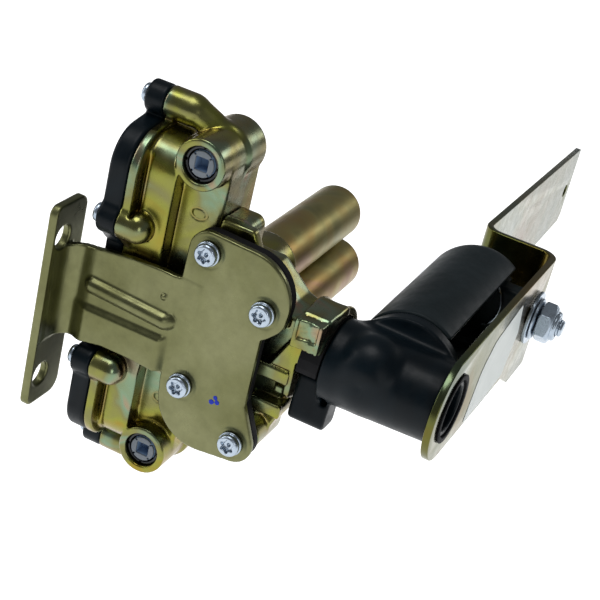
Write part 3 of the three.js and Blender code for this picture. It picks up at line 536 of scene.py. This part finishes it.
def mounting_bracket():
    g = Grid((-75, -17, -58), (25, 9, 45), 0.5)
    plate = push(plate_outline(g, 0), g.y, 0, PLATE_THICK, 0.55)
    for x, z in PLATE_SCREWS:
        dimple = push(circle(g.x, g.z, x, z, 6.4), g.y, -1, 0.22, 0.2)
        plate = carve(plate, dimple, 0.5)
    middle = FLANGE_X + FLANGE_THICK / 2 + 0.5
    mid_y = PLATE_THICK / 2
    bend = 9.0
    turn = [
        (middle + bend - bend * math.cos(t), mid_y - bend + bend * math.sin(t))
        for t in np.linspace(0, math.pi / 2, 10)
    ]
    along = ramp(g.x, -66, -57) * (1 - ramp(g.x, -25, -20.5))
    fold = np.clip((19.2 - g.z) / 27, 0, 1)
    lower_band = ramp(-g.z, 6.5, 9.5)
    y = g.y + along * (1.1 + fold + 1.8 * lower_band)
    sheet = trail(g.x, y, [(middle, -10)] + turn + [(-12, mid_y)]) - PLATE_THICK / 2
    arm = keep(keep(sheet, outline(g.x, g.z, ARM_TOP + ARM_BOTTOM), 0.7), g.x + 12.5, 0.3)
    t = np.clip((g.x + 57) / 34, 0, 1)
    ridge = np.hypot(np.hypot(g.x - (-57 + 34 * t), g.z - 1.4 + 2.2 * t), y - 0.2) - 3.1
    ridge = keep(ridge, y - 1.5, 0.2)
    arm = melt(arm, ridge, 1.4)
    dimple = np.hypot(np.hypot(g.x + 26.5, g.z - 9), y + 0.2) - 1.1
    arm = melt(arm, keep(dimple, y - 1.5, 0.2), 0.8)
    flange_edge = rounded([
        (-14.98, -55.7, 4), (7.48, -55.7, 6), (7.48, 33.5, 5), (-14.98, 33.5, 4),
    ])
    flange = push(outline(g.y, g.z, flange_edge), g.x, FLANGE_X, FLANGE_X + FLANGE_THICK, 0.6)
    body = melt(melt(plate, arm, 0.9), flange, 0.9)
    for z in (19.2, -42.6):
        body = carve(body, push(circle(g.y, g.z, -7.8, z, 5.0), g.x, -78, -66, 0), 0.7)
    for x, z in PLATE_SCREWS:
        body = carve(body, push(circle(g.x, g.z, x, z, 2.9), g.y, -3, 6, 0), 0.2)
    body = np.maximum(body, FLANGE_X - g.x)
    add_field("bracket_plate", g, body, "base", looks["plate"], ("mounting_bracket",))


def isolator_pad():
    g = Grid((-24, 2.5, -51), (25, 8.5, 44), 0.45)
    pad = push(plate_outline(g, 0.35), g.y, PLATE_THICK + CLEAR, 7.7, 0.8)
    for x, z in PLATE_SCREWS:
        pad = carve(pad, push(circle(g.x, g.z, x, z, 2.9), g.y, 0, 9, 0), 0.2)
    add_field("pad", g, pad, "base", looks["rubber"], ("isolator_pad",))


def plate_screw():
    """Pan head with a collar and a six-lobed recess, drawn about its own axis."""
    g = Grid((-5.6, -4.6, -5.6), (5.6, 4.0, 5.6), 0.16)
    head = push(circle(g.x, g.z, 0, 0, 4.55), g.y, -4.0, -0.9, 1.25)
    collar = push(circle(g.x, g.z, 0, 0, 5.0), g.y, -1.35, -CLEAR, 0.35)
    shank = push(circle(g.x, g.z, 0, 0, 2.45), g.y, -2, 3.6, 0.3)
    body = melt(melt(head, collar, 0.5), shank, 0.3)
    angle = np.arctan2(g.z, g.x)
    star = np.hypot(g.x, g.z) - (2.45 + 0.5 * np.cos(6 * angle))
    body = carve(body, push(star, g.y, -6, -2.2, 0.2), 0.3)
    body = carve(body, np.hypot(g.x, g.z) + (g.y + 2.2) * 0.8 - 0.9 + np.maximum(0, g.y + 1.4) * 9, 0.2)
    return g, surface(np.broadcast_to(body, g.shape).astype(np.float32))


def paint_dot():
    """A dab of blue marking paint in three lobes on the plate."""
    g = Grid((-1.5, -0.8, -29.5), (6.5, 0.6, -21), 0.14)
    dab = 9.0
    for x, z, r in ((1.2, -26.6, 1.25), (3.6, -26.0, 1.15), (2.5, -24.2, 1.1)):
        dab = melt(dab, np.hypot(np.hypot(g.x - x, g.z - z), g.y * 6) - r, 0.7)
    add_field("paint_dot", g, keep(dab, g.y, 0.05), "base", looks["paint"])


# ------------------------------------------------------------------ the reducers
def chamber(g, side, armed, front, shrink):
    """The gear chamber's outline in the plane of y and z, stepped back behind the bracket's arm."""
    top = 69.9 - shrink
    step = max(front, PLATE_THICK + CLEAR + 0.2)
    corners = [(step, side * 5, 6)]
    if step > front + 0.5:
        corners += [(step, side * (armed + 0.9), 0.5), (front, side * (armed + 7.5), 2)]
    corners += [
        (front, side * (top - 4), 15 - shrink), (24, side * top, 8),
        (44 - shrink, side * (top - 14), 12), (44 - shrink, side * 5, 6),
    ]
    return outline(g.y, g.z, rounded(corners))


def boss(g, y, z, radius, from_x, to_x):
    """A screw boss along X with a domed end."""
    return np.maximum(round_bar(g, (from_x, y, z), (to_x - radius, y, z), radius), from_x - g.x)


def gear_housing(name, side):
    z_range = sorted((side * 3.5, side * 83.5))
    g = Grid((-51.5, -8.5, z_range[0]), (-12.5, 50, z_range[1]), 0.46)
    armed = ARM_EDGE[name]
    rim = push(chamber(g, side, armed, -3.5, 0), g.x, -50, -46.5, 0.7)
    panel = push(chamber(g, side, armed, 2.0, 1.5), g.x, -48, -33, 1.4)
    block = push(
        rectangle(g.y, g.z, (10, min(side * 5, side * 64)), (37, max(side * 5, side * 64)), 2.2),
        g.x, -36, -15, 1.6,
    )
    barrel = push(circle(g.x, g.z, PORT_X, side * PORT_Z, 10.2), g.y, 2.7, 24, 0.7)
    rear = push(circle(g.x, g.z, PORT_X, side * PORT_Z, 11.6), g.y, 20.9, 37.4, 2.6)
    saddle = box(g, (-36, -25), (10, 37), sorted((side * 49, side * 70)), 3.0)
    body = melt(rim, panel, 1.2)
    body = melt(body, block, 0.8)
    body = melt(body, saddle, 2.0)
    body = melt(body, barrel, 1.3)
    body = melt(body, rear, 0.7)
    for y, z, radius, to_x in EARS:
        body = melt(body, boss(g, y, side * z, radius, -50, to_x), 1.6)
    hump = round_bar(g, (-38, 21.5, side * 75.2), (-21.5, 23.5, side * 67.5), 5.7, 5.2)
    body = melt(body, hump, 1.0)
    groove = box(g, (-46.1, -44.5), (-6, 4.3), sorted((side * 36, side * 61)), 0.5)
    body = carve(body, groove, 0.7)
    body = carve(body, push(circle(g.x, g.z, PORT_X, side * PORT_Z, 7.3), g.y, -2, 16, 0.4), 0.5)
    rolled = np.hypot(np.hypot(g.x - PORT_X, g.z - side * PORT_Z) - 8.75, (g.y - 3.6) * 1.3) - 1.2
    body = melt(body, rolled, 0.5)
    mark = np.abs(np.hypot((g.x + 24.5) / 3.4, (g.z - side * 41.5) / 2.3) - 1) * 2.8 - 0.4
    body = carve(body, np.maximum(mark, np.abs(g.y - 10) - 0.35), 0.25)
    for x, z in PLATE_SCREWS:
        body = carve(body, push(circle(g.x, g.z, x, z, 2.9), g.y, 5, 14, 0), 0.1)
    add_field(f"{name}_housing", g, body, "base", looks["casting"],
              (f"{name}_gear_housing",))


def gear_cover(name, side):
    z_range = sorted((side * 3.5, side * 83.5))
    g = Grid((-60, -8.5, z_range[0]), (-49, 50.5, z_range[1]), 0.46)
    shell = push(chamber(g, side, ARM_EDGE[name], -3.5, 0), g.x, -58.6, -50.3, 1.5)
    for y, z, radius, _ in EARS:
        shell = melt(shell, push(circle(g.y, g.z, y, side * z, radius), g.x, -58.6, -50.3, 1.1), 1.8)
    dish = push(chamber(g, side, ARM_EDGE[name], 0.8, 4.2), g.x, -61, -57.6, 0.5)
    lands = np.minimum(circle(g.y, g.z, EARS[0][0], side * EARS[0][1], 7.4),
                       circle(g.y, g.z, EARS[2][0], side * EARS[2][1], 7.2))
    shell = carve(shell, np.maximum(dish, -lands), 0.5)
    for z in (26.6, 49.2):
        boss_face = push(circle(g.y, g.z, CRANK_Y, side * z, 7.0), g.x, -58.4, -55, 0.8)
        shell = melt(shell, boss_face, 0.8)
    for y, z, _, _ in EARS:
        shell = carve(shell, push(circle(g.y, g.z, y, side * z, 2.3), g.x, -62, -48, 0), 0.2)
    add_field(f"{name}_cover", g, shell, "base", looks["black"], (f"{name}_gear_cover",))


def cover_screw():
    """Domed head with a hexagon socket, drawn about its own axis, which lies along X."""
    g = Grid((-3.2, -4.4, -4.4), (1.2, 4.4, 4.4), 0.16)
    head = push(circle(g.y, g.z, 0, 0, 3.9), g.x, -2.6, 0, 1.2)
    shank = push(circle(g.y, g.z, 0, 0, 2.0), g.x, -1, 0.9, 0.1)
    hexagon = np.float32(-9)
    for k in range(3):
        turn = math.pi * k / 3
        hexagon = np.maximum(hexagon, np.abs(g.y * math.cos(turn) + g.z * math.sin(turn)) - 1.55)
    body = carve(melt(head, shank, 0.2), push(hexagon, g.x, -5, -1.0, 0.1), 0.15)
    return g, surface(np.broadcast_to(body, g.shape).astype(np.float32))


def port_inside(name, side):
    """The dark ring in the port and the driven end of the worm."""
    z0 = side * PORT_Z
    g = Grid((PORT_X - 7.4, 3.6, z0 - 7.4), (PORT_X + 7.4, 9.2, z0 + 7.4), 0.17)
    radius = np.hypot(g.x - PORT_X, g.z - z0)
    angle = np.arctan2(g.z - z0, g.x - PORT_X)
    ring = np.maximum(push(radius - 7.05, g.y, 4.5, 8.2, 0.4), 5.95 - radius)
    teeth = np.maximum(np.abs(np.sin(2 * angle)) * radius - 0.9, np.maximum(6.2 - radius, g.y - 6))
    ring = carve(ring, teeth, 0.2)
    add_field(f"{name}_port_ring", g, ring, "base", looks["dark"], (f"{name}_port_bush",))
    cap = push(circle(g.x, g.z, PORT_X, z0, 5.2), g.y, 4.05, 4.86, 0.3)
    square = rectangle(g.x, g.z, (PORT_X - 2.7, z0 - 2.7), (PORT_X + 2.7, z0 + 2.7), 0.5)
    cap = carve(cap, push(square, g.y, 3, 6, 0), 0.3)
    notch = np.maximum(np.abs(np.cos(2 * angle)) * radius - 0.7, 4.2 - radius)
    cap = carve(cap, notch, 0.2)
    add_field(f"{name}_drive_cap", g, cap, f"{name}_worm", looks["nylon"])


def guide_tube(name, side):
    end, root, tip, curve = 126.5, 11.95, 11.8, 3.6
    profile = [(0, 53.0), (root - 0.5, 53.0), (root, 53.5), (root - 0.02, 60)]
    profile += [(tip, end - curve)]
    profile += [
        (tip - curve + curve * math.cos(t), end - curve + curve * math.sin(t))
        for t in np.linspace(0.15, math.pi / 2, 9)
    ]
    profile += [(0, end)]
    add_lathe(f"{name}_tube", "y", TUBE_X[name], side * TUBE_Z, profile, "base",
              looks["tube"], (f"{name}_guide_tube",), 96)


# ------------------------------------------------------------------ the middle casting
def lug_room(g):
    """The wedge in the collar that the crank's lug swings through."""
    reach = 60
    front, back = math.radians(-83), math.radians(69)
    wedge = outline(g.y, g.z, [
        (CRANK_Y, 0), (CRANK_Y + reach * math.sin(front), -reach * math.cos(front)),
        (CRANK_Y - reach, -reach), (CRANK_Y + reach, -reach),
        (CRANK_Y + reach * math.sin(back), -reach * math.cos(back)),
    ])
    return push(wedge, g.x, 27.5, 45, 0)


def centre_casting():
    g = Grid((-16, 1.0, -51), (40, 54.5, 48.5), 0.5)
    core = push(outline(g.x, g.z, rounded([
        (-14.7, -43, 3), (2, -43, 3), (19, -30, 4), (30, -9, 3), (31, 10, 5), (17, 15, 4), (4, 26, 3),
        (-14.7, 26, 2),
    ])), g.y, 15, 38, 1.6)
    front = push(outline(g.x, g.z, rounded([
        (-14.7, 43.2, 1), (-14.7, 18, 1), (20, 8, 2), (20, 14, 4), (8, 26, 4), (-1, 43.2, 2),
    ])), g.y, 10, 15, 1.2)
    low_front = push(outline(g.x, g.z, rounded([
        (-14.7, -43, 2), (-14.7, -12, 1), (8, -6, 1), (11, -24, 1), (8, -43, 2),
    ])), g.y, 10, 16, 1.0)
    body = melt(core, front, 1.2)
    body = melt(body, low_front, 1.0)
    body = melt(body, box(g, (-20, -3.6), (10, 30), (18, 43.2), 4.5), 2.0)
    tail = push(circle(g.x, g.z, PLATE_SCREWS[3][0], PLATE_SCREWS[3][1], 7.6), g.y, 8.3, 30, 0.9)
    body = melt(body, tail, 1.4)
    web = push(outline(g.x, g.z, rounded([
        (17.5, -46, 1.5), (24.5, -28, 2), (27, -16, 1), (20, -8, 1), (5, -40, 1),
    ])), g.y, 17, 30, 0.8)
    body = melt(body, web, 1.2)
    for name, side in SIDES.items():
        socket = push(circle(g.x, g.z, TUBE_X[name], side * TUBE_Z, 13.4), g.y, 13, 52.7, 0.8)
        body = melt(body, socket, 1.2)
    for z, high in ((-9.2, 5.2), (-24.8, 5.2)):
        shelf = box(g, (12.5, 26.2), (8.2, 22), (z - high / 2, z + high / 2), 0.8)
        crest = box(g, (12.5, 26.2), (8.05, 10.6), (z - high / 2, z + high / 2 + 0.7), 0.9)
        body = melt(body, melt(shelf, crest, 0.5), 0.7)
    nub = box(g, (20.5, 27.5), (11.5, 20), (-18.2, -14.8), 0.7)
    body = melt(body, nub, 0.6)
    link = push(outline(g.x, g.z, rounded([
        (15, -9.5, 1), (25.2, -9.5, 1), (34, 5.5, 2), (33, 9, 1), (24.5, 9, 2),
    ])), g.y, 9.6, 16, 0.7)
    body = melt(body, link, 0.8)
    collar = push(circle(g.y, g.z, CRANK_Y, 0, 20.2), g.x, 25.5, 37.6, 0.8)
    lip = push(circle(g.y, g.z, CRANK_Y, 0, 21), g.x, 35.4, 37.6, 0.8)
    root = push(circle(g.y, g.z, CRANK_Y, 0, 20.9), g.x, 25.0, 27.6, 0.9)
    collar = melt(melt(collar, lip, 0.7), root, 0.8)
    crown = box(g, (25.6, 37.6), (8, 26), (14, 21.6), 1.4)
    collar = melt(collar, crown, 1.5)
    hammered = 0.22 * np.sin(g.x * 2.1 + 1.3 * np.sin(g.z * 1.7)) * np.sin(g.z * 2.4 + g.x)
    upper_face = box(g, (26.6, 37.0), (3.2, 15), (12.6, 20.6), 0.9) + hammered
    lower_face = box(g, (26.6, 35.6), (2.3, 15), (8.8, 13.2), 0.8) + hammered
    collar = melt(collar, melt(upper_face, lower_face, 0.6), 0.8)
    for x in (26.4, 36.2):
        collar = melt(collar, box(g, (x - 0.8, x + 0.8), (1.9, 15), (8.8, 20.9), 0.7), 0.4)
    collar = carve(collar, box(g, (33.6, 45), (-5, CRANK_Y), (-12, 8.5), 0.5), 0.6)
    collar = carve(collar, box(g, (20, 45), (-5, 9.8), (-30, 8.4), 0.5), 0.6)
    body = melt(body, collar, 1.0)
    for name, side in SIDES.items():
        bore = push(circle(g.x, g.z, TUBE_X[name], side * TUBE_Z, RACK_BORE), g.y, 11.3, 56, 0)
        pinion = push(circle(g.y, g.z, CRANK_Y, side * OUTPUT_Z, PINION_ROOM), g.x, -16, TUBE_X[name] + 5, 0)
        body = carve(body, np.minimum(bore, pinion), 0.3)
    for radius, start, end in ((6.6, -16, 0.4), (5.6, -0.2, 30)):
        body = carve(body, push(circle(g.y, g.z, CRANK_Y, 0, radius), g.x, start, end, 0), 0.1)
    body = np.maximum(body, np.where(g.y < 37.3, -14.7 - g.x, -40))
    body = carve(body, lug_room(g), 0.8)
    body = carve(body, push(circle(g.y, g.z, CRANK_Y, 0, 17.6), g.x, 29, 42, 0), 0.5)
    for x, z in PLATE_SCREWS:
        body = carve(body, push(circle(g.x, g.z, x, z, 2.9), g.y, 5, 14, 0), 0.1)
    add_field("middle_casting", g, body, "base", looks["casting"], ("centre_casting",))


# ------------------------------------------------------------------ the crank lever
def crank_arm():
    g = Grid((25.5, 0.5, -31), (91, 42, 24), 0.52)
    across = np.hypot(g.y - CRANK_Y, g.z)
    taper = across - (17.0 - (g.x - 38.2) / 45.8 * 1.2)
    barrel = push(taper, g.x, 38.2, 84.0, 0.9)
    sleeve = push(np.hypot(g.x - HOOD_X, g.z) - (HOOD_R - 0.6), g.y, 33.5, 39.6, 0.5)
    body = melt(barrel, sleeve, 7.0)
    crown = np.hypot(np.hypot(g.x - 55, g.z - 2.4) - 3.0, (g.y - 17.5) * 1.02) - 13.2
    crown = np.minimum(crown, push(circle(g.x, g.z, 55, 2.4, 15.0), g.y, 9.5, 26, 5.0))
    body = melt(body, crown, 1.6)
    lug = push(outline(g.y, g.z, rounded([(12, -28, 3.6), (25, -28, 2.8), (26, -8, 1), (15.5, -8, 1.5)])),
               g.x, 27.8, 43.2, 1.3)
    nick = box(g, (33.5, 38.5), (8, 12.5), (-20.2, -18.9), 0.4)
    lug = carve(lug, nick, 0.4)
    pocket = box(g, (39.4, 42.0), (10, 18), (-17, -10.5), 1.0)
    body = carve(melt(body, lug, 1.6), pocket, 0.8)
    cradle = box(g, (43, 80), (30, 39.4), (-13, 13), 2.0)
    body = melt(body, cradle, 1.5)
    end_ring = push(across - 11.6, g.x, 80, 87.4, 0.5)
    body = melt(body, end_ring, 0.3)
    body = carve(body, push(across - 9.3, g.x, 60, 90, 0.3), 0.5)
    body = melt(body, np.maximum(push(across - 9.2, g.x, 59, 64, 0.4), 5.2 - across), 0.4)
    body = carve(body, push(across - 5.6, g.x, 26, 53, 0), 0.2)
    body = np.maximum(np.maximum(body, g.y - 39.5), g.x - np.where(across < 11.7, 87.4, 84.0))
    add_field("arm", g, body, "crank", looks["black"], ("crank_arm",))


def lever_hood():
    g = Grid((38.2, 38.6, -24), (86, 134.2, 24), 0.62)
    across = np.hypot(g.x - HOOD_X, g.z)
    shell = push(across - HOOD_R, g.y, 39.9, 133, 0.6)
    far_end = np.hypot(np.maximum(across - (HOOD_R - 12), 0), np.maximum(g.y - (133 - 13), 0) * 12 / 13) - 12
    shell = np.maximum(shell, np.where(g.y > 120, far_end, -5))
    inner_end = np.hypot(np.maximum(across - (HOOD_R - 12), 0), np.maximum(g.y - 120, 0) * 12 / 13) - 8.8
    inside = np.maximum(push(across - (HOOD_R - 3), g.y, 42.9, 131, 1.5), np.where(g.y > 118, inner_end, -5))
    body = carve(shell, inside, 0.6)
    slope = math.tan(math.radians(61))
    wedge = (np.abs(g.z) - slope * (g.x - HOOD_X - 4)) * math.cos(math.radians(61))
    body = carve(body, wedge, 0.9)
    for y in (64, 88, 109):
        rib = np.maximum(push(across - (HOOD_R - 2), g.y, y - 0.8, y + 0.8, 0.5), 17.0 - across)
        body = melt(body, carve(rib, wedge, 0.5), 0.8)
    seat = box(g, (60, 84.0), (118, 132.5), (-14, 9.8), 1.5)
    body = melt(body, np.maximum(seat, across - 26), 1.2)
    body = carve(body, push(circle(g.y, g.z, BOLT_Y, BOLT_Z, 4.4), g.x, 48, 92, 0), 0.3)
    body = carve(body, push(circle(g.y, g.z, BOLT_Y, BOLT_Z, 8.4), g.x, 41, 61, 0), 0.3)
    step = box(g, (74, 86), (126.5, 136), (2.5, 12), 0.8)
    body = carve(body, step, 0.6)
    add_field("hood", g, body, "crank", looks["slate"], ("lever_hood",))


def spring_clip():
    """A bright wire clip that lies inside the hood beside the bolt's seat."""
    curve = bpy.data.curves.new("wire_clip", "CURVE")
    curve.dimensions = "3D"
    curve.bevel_depth = 0.45 * MM
    curve.bevel_resolution = 4
    line = curve.splines.new("POLY")
    turns = np.linspace(math.radians(-70), math.radians(75), 24)
    spots = [(66 + 9.5 * math.cos(t), 116.6 - 0.8 * math.cos(2 * t), 1 + 11.5 * math.sin(t)) for t in turns]
    line.points.add(len(spots) - 1)
    for point, spot in zip(line.points, to_world(spots)):
        point.co = (*spot, 1)
    line.use_endpoint_u = True
    curve.use_fill_caps = True
    piece = bpy.data.objects.new("wire_clip", curve)
    bpy.context.scene.collection.objects.link(piece)
    dress(piece, "crank", looks["zinc"])


def bracket_bush():
    x = BRACKET_X
    profile = [(11.8, x - 3), (13.4, x - 3), (13.4, x + 0.25), (14.05, x + 0.35), (14.1, x + 0.7),
               (13.8, x + 0.9), (12.1, x + 0.9), (11.8, x + 0.6)]
    add_lathe("eye_bush", "x", CRANK_Y, 0, profile, "crank", looks["rubber"],
              ("bracket_bush",))


def washers():
    x = BRACKET_X + CLEAR
    wide = [(4.4, x), (11.7, x), (12.0, x + 0.3), (12.0, x + 1.3), (11.7, x + 1.6), (4.4, x + 1.6)]
    add_lathe("washer_wide", "x", BOLT_Y, BOLT_Z, wide, "crank", looks["zinc"],
              ("wide_washer",))
    x += 1.6 + CLEAR
    cone = [(4.4, x), (9.2, x), (9.5, x + 0.25), (9.4, x + 1.0), (8.0, x + 1.7), (4.4, x + 1.7)]
    add_lathe("washer_cone", "x", BOLT_Y, BOLT_Z, cone, "crank", looks["zinc"],
              ("cone_washer",))


def lock_nut():
    x = BRACKET_X + 4.4
    g = Grid((x - 0.6, BOLT_Y - 9.8, BOLT_Z - 9.8), (x + 9.2, BOLT_Y + 9.8, BOLT_Z + 9.8), 0.18)
    across = np.hypot(g.y - BOLT_Y, g.z - BOLT_Z)
    flats = np.float32(-9)
    for k in range(3):
        turn = math.pi * k / 3 + 0.35 + math.pi / 6
        flats = np.maximum(
            flats, np.abs((g.y - BOLT_Y) * math.cos(turn) + (g.z - BOLT_Z) * math.sin(turn)) - 8.0
        )
    crown = np.maximum(across + (g.x - x - 5.4) * 1.3 - 8.6, across - (g.x - x) * 1.3 - 8.4)
    body = keep(push(flats, g.x, x, x + 6.4, 0.15), crown, 0.3)
    collar = push(across - 6.6, g.x, x + 4, x + 8.2, 1.1)
    body = melt(body, collar, 0.5)
    body = carve(body, push(across - 4.3, g.x, x - 2, x + 10, 0), 0.2)
    add_field("nut", g, body, "crank", looks["zinc"], ("lock_nut",))
    ring = [(4.25, x + 7.0), (5.0, x + 7.0), (5.0, x + 8.0), (4.25, x + 7.9)]
    add_lathe("nut_insert", "x", BOLT_Y, BOLT_Z, ring, "crank", looks["nylon"])


def clamp_bolt():
    """The bolt: a hexagon head inside the hood and a rolled thread at the nut's end."""
    g = Grid((53.5, BOLT_Y - 8, BOLT_Z - 8), (103, BOLT_Y + 8, BOLT_Z + 8), 0.3)
    across = np.hypot(g.y - BOLT_Y, g.z - BOLT_Z)
    flats = np.float32(-9)
    for k in range(3):
        turn = math.pi * k / 3 + math.pi / 6
        flats = np.maximum(
            flats, np.abs((g.y - BOLT_Y) * math.cos(turn) + (g.z - BOLT_Z) * math.sin(turn)) - 6.5
        )
    head = keep(push(flats, g.x, 54.6, 59.6, 0.2), across - (g.x - 54.6) * 1.5 - 6.2, 0.3)
    pitch = 1.25
    phase = (g.x / pitch - np.arctan2(g.z - BOLT_Z, g.y - BOLT_Y) / (2 * math.pi)) % 1
    thread = np.abs(phase - 0.5) * 2 * 0.6
    shank = across - np.where(g.x > 84, 4.0 - thread, 4.0)
    shank = np.maximum(shank, across + (g.x - 102.4) - 3.0)
    body = melt(head, np.maximum(shank, np.maximum(55 - g.x, g.x - 102.3)), 0.3)
    add_field("bolt", g, body, "crank", looks["zinc"], ("clamp_bolt",))


def rating_label():
    """A blank label with a rounded front end on the bracket's side."""
    x = BRACKET_X + 0.08
    g = Grid((x - 0.3, 48, -23), (x + 0.6, 110, 17), 0.34)
    shape = outline(g.y, g.z, rounded([
        (50, -21, 2), (57, 2, 14), (68, 10.5, 9), (100, 15, 3), (108, -2, 3), (100, -20.5, 3),
    ]))
    film = push(shape, g.x, x, x + 0.25, 0.1)
    points, quads = surface(np.broadcast_to(film, g.shape).astype(np.float32))
    add_mesh("label_film", g.low + points * g.step, quads, "crank", looks["label"],
             ("rating_label",))


# ------------------------------------------------------------------ building
mounting_bracket()
isolator_pad()
screw_grid, (screw_points, screw_quads) = plate_screw()
for i, (x, z) in enumerate(PLATE_SCREWS):
    spots = screw_grid.low + screw_points * screw_grid.step
    angle = 0.4 + 0.7 * i
    c, s = math.cos(angle), math.sin(angle)
    turn = np.array([[c, 0, s], [0, 1, 0], [-s, 0, c]])
    add_mesh(f"plate_screw_{i + 1}_head", spots @ turn.T + (x, 0, z), screw_quads, "base",
             looks["zinc"], (f"plate_screw_{i + 1}",))
paint_dot()

cover_grid, (cover_points, cover_quads) = cover_screw()
for name, side in SIDES.items():
    gear_housing(name, side)
    gear_cover(name, side)
    port_inside(name, side)
    guide_tube(name, side)
    for i, (y, z, _, _) in enumerate(EARS):
        spots = cover_grid.low + cover_points * cover_grid.step + (-58.9, y, side * z)
        add_mesh(f"{name}_screw_{i + 1}_head", spots, cover_quads, "base", looks["zinc"],
                 (f"{name}_cover_screw_{i + 1}",))

centre_casting()
crank_arm()
lever_hood()
spring_clip()
eased_copy("rear_bracket", "crank", looks["strip"], 0.45)
bracket_bush()
washers()
lock_nut()
clamp_bolt()
rating_label()

# ------------------------------------------------------------------ floor, light and camera
LOWEST = CAD_BOX[0].z
FLOOR_DROP = 0.07
CAMERA_AT = Vector((262.86, -480.44, 300.74)) * MM
CAMERA_AZIMUTH, CAMERA_ELEVATION, CAMERA_ROLL = 18.62, 26.97, 14.07
CAMERA_LENS = 94.08


def floor():
    mesh = bpy.data.meshes.new("floor")
    reach = 6.0
    z = LOWEST - FLOOR_DROP
    mesh.from_pydata([(-reach, -reach, z), (reach, -reach, z), (reach, reach, z), (-reach, reach, z)], [],
                     [(0, 1, 2, 3)])
    ground = bpy.data.objects.new("floor", mesh)
    bpy.context.scene.collection.objects.link(ground)
    paint = Paint("pale_floor", (0.93, 0.93, 0.93), roughness=0.9, specular=0.1)
    paint.shader.inputs["Emission Color"].default_value = (1, 1, 1, 1)
    paint.shader.inputs["Emission Strength"].default_value = 0.95
    mesh.materials.append(paint.material)


def softbox(name, at, aim, width, height, power):
    light = bpy.data.lights.new(name, "AREA")
    light.shape = "RECTANGLE"
    light.size, light.size_y = width, height
    light.energy = power
    lamp = bpy.data.objects.new(name, light)
    lamp.location = at
    lamp.rotation_euler = (Vector(aim) - Vector(at)).to_track_quat("-Z", "Y").to_euler()
    bpy.context.scene.collection.objects.link(lamp)


def camera():
    data = bpy.data.cameras.new("camera")
    data.lens = CAMERA_LENS
    data.sensor_width = 36
    data.clip_start, data.clip_end = 0.01, 20
    view = bpy.data.objects.new("camera", data)
    turn = Euler((math.radians(90 - CAMERA_ELEVATION), 0, math.radians(CAMERA_AZIMUTH)), "XYZ").to_matrix()
    view.rotation_euler = (turn @ Matrix.Rotation(math.radians(CAMERA_ROLL), 3, "Z")).to_euler()
    view.location = CAMERA_AT
    bpy.context.scene.collection.objects.link(view)
    bpy.context.scene.camera = view


def sky():
    world = bpy.data.worlds.new("sky")
    world.use_nodes = True
    world.node_tree.nodes["Background"].inputs["Color"].default_value = (0.80, 0.83, 0.86, 1)
    world.node_tree.nodes["Background"].inputs["Strength"].default_value = 0.24
    bpy.context.scene.world = world
    bpy.context.scene.view_settings.view_transform = "Standard"


floor()
camera()
sky()
middle = (CAD_BOX[0] + CAD_BOX[1]) / 2
softbox("overhead", middle + Vector((-0.22, -0.30, 0.9)), middle, 0.5, 0.45, 3.6)
softbox("left", middle + Vector((-0.9, -0.55, 0.45)), middle, 0.25, 0.7, 2.4)
softbox("front", middle + Vector((0.55, -0.9, 0.25)), middle, 0.2, 0.4, 0.9)
softbox("back", middle + Vector((0.6, 0.9, 0.5)), middle, 0.35, 0.35, 1.4)
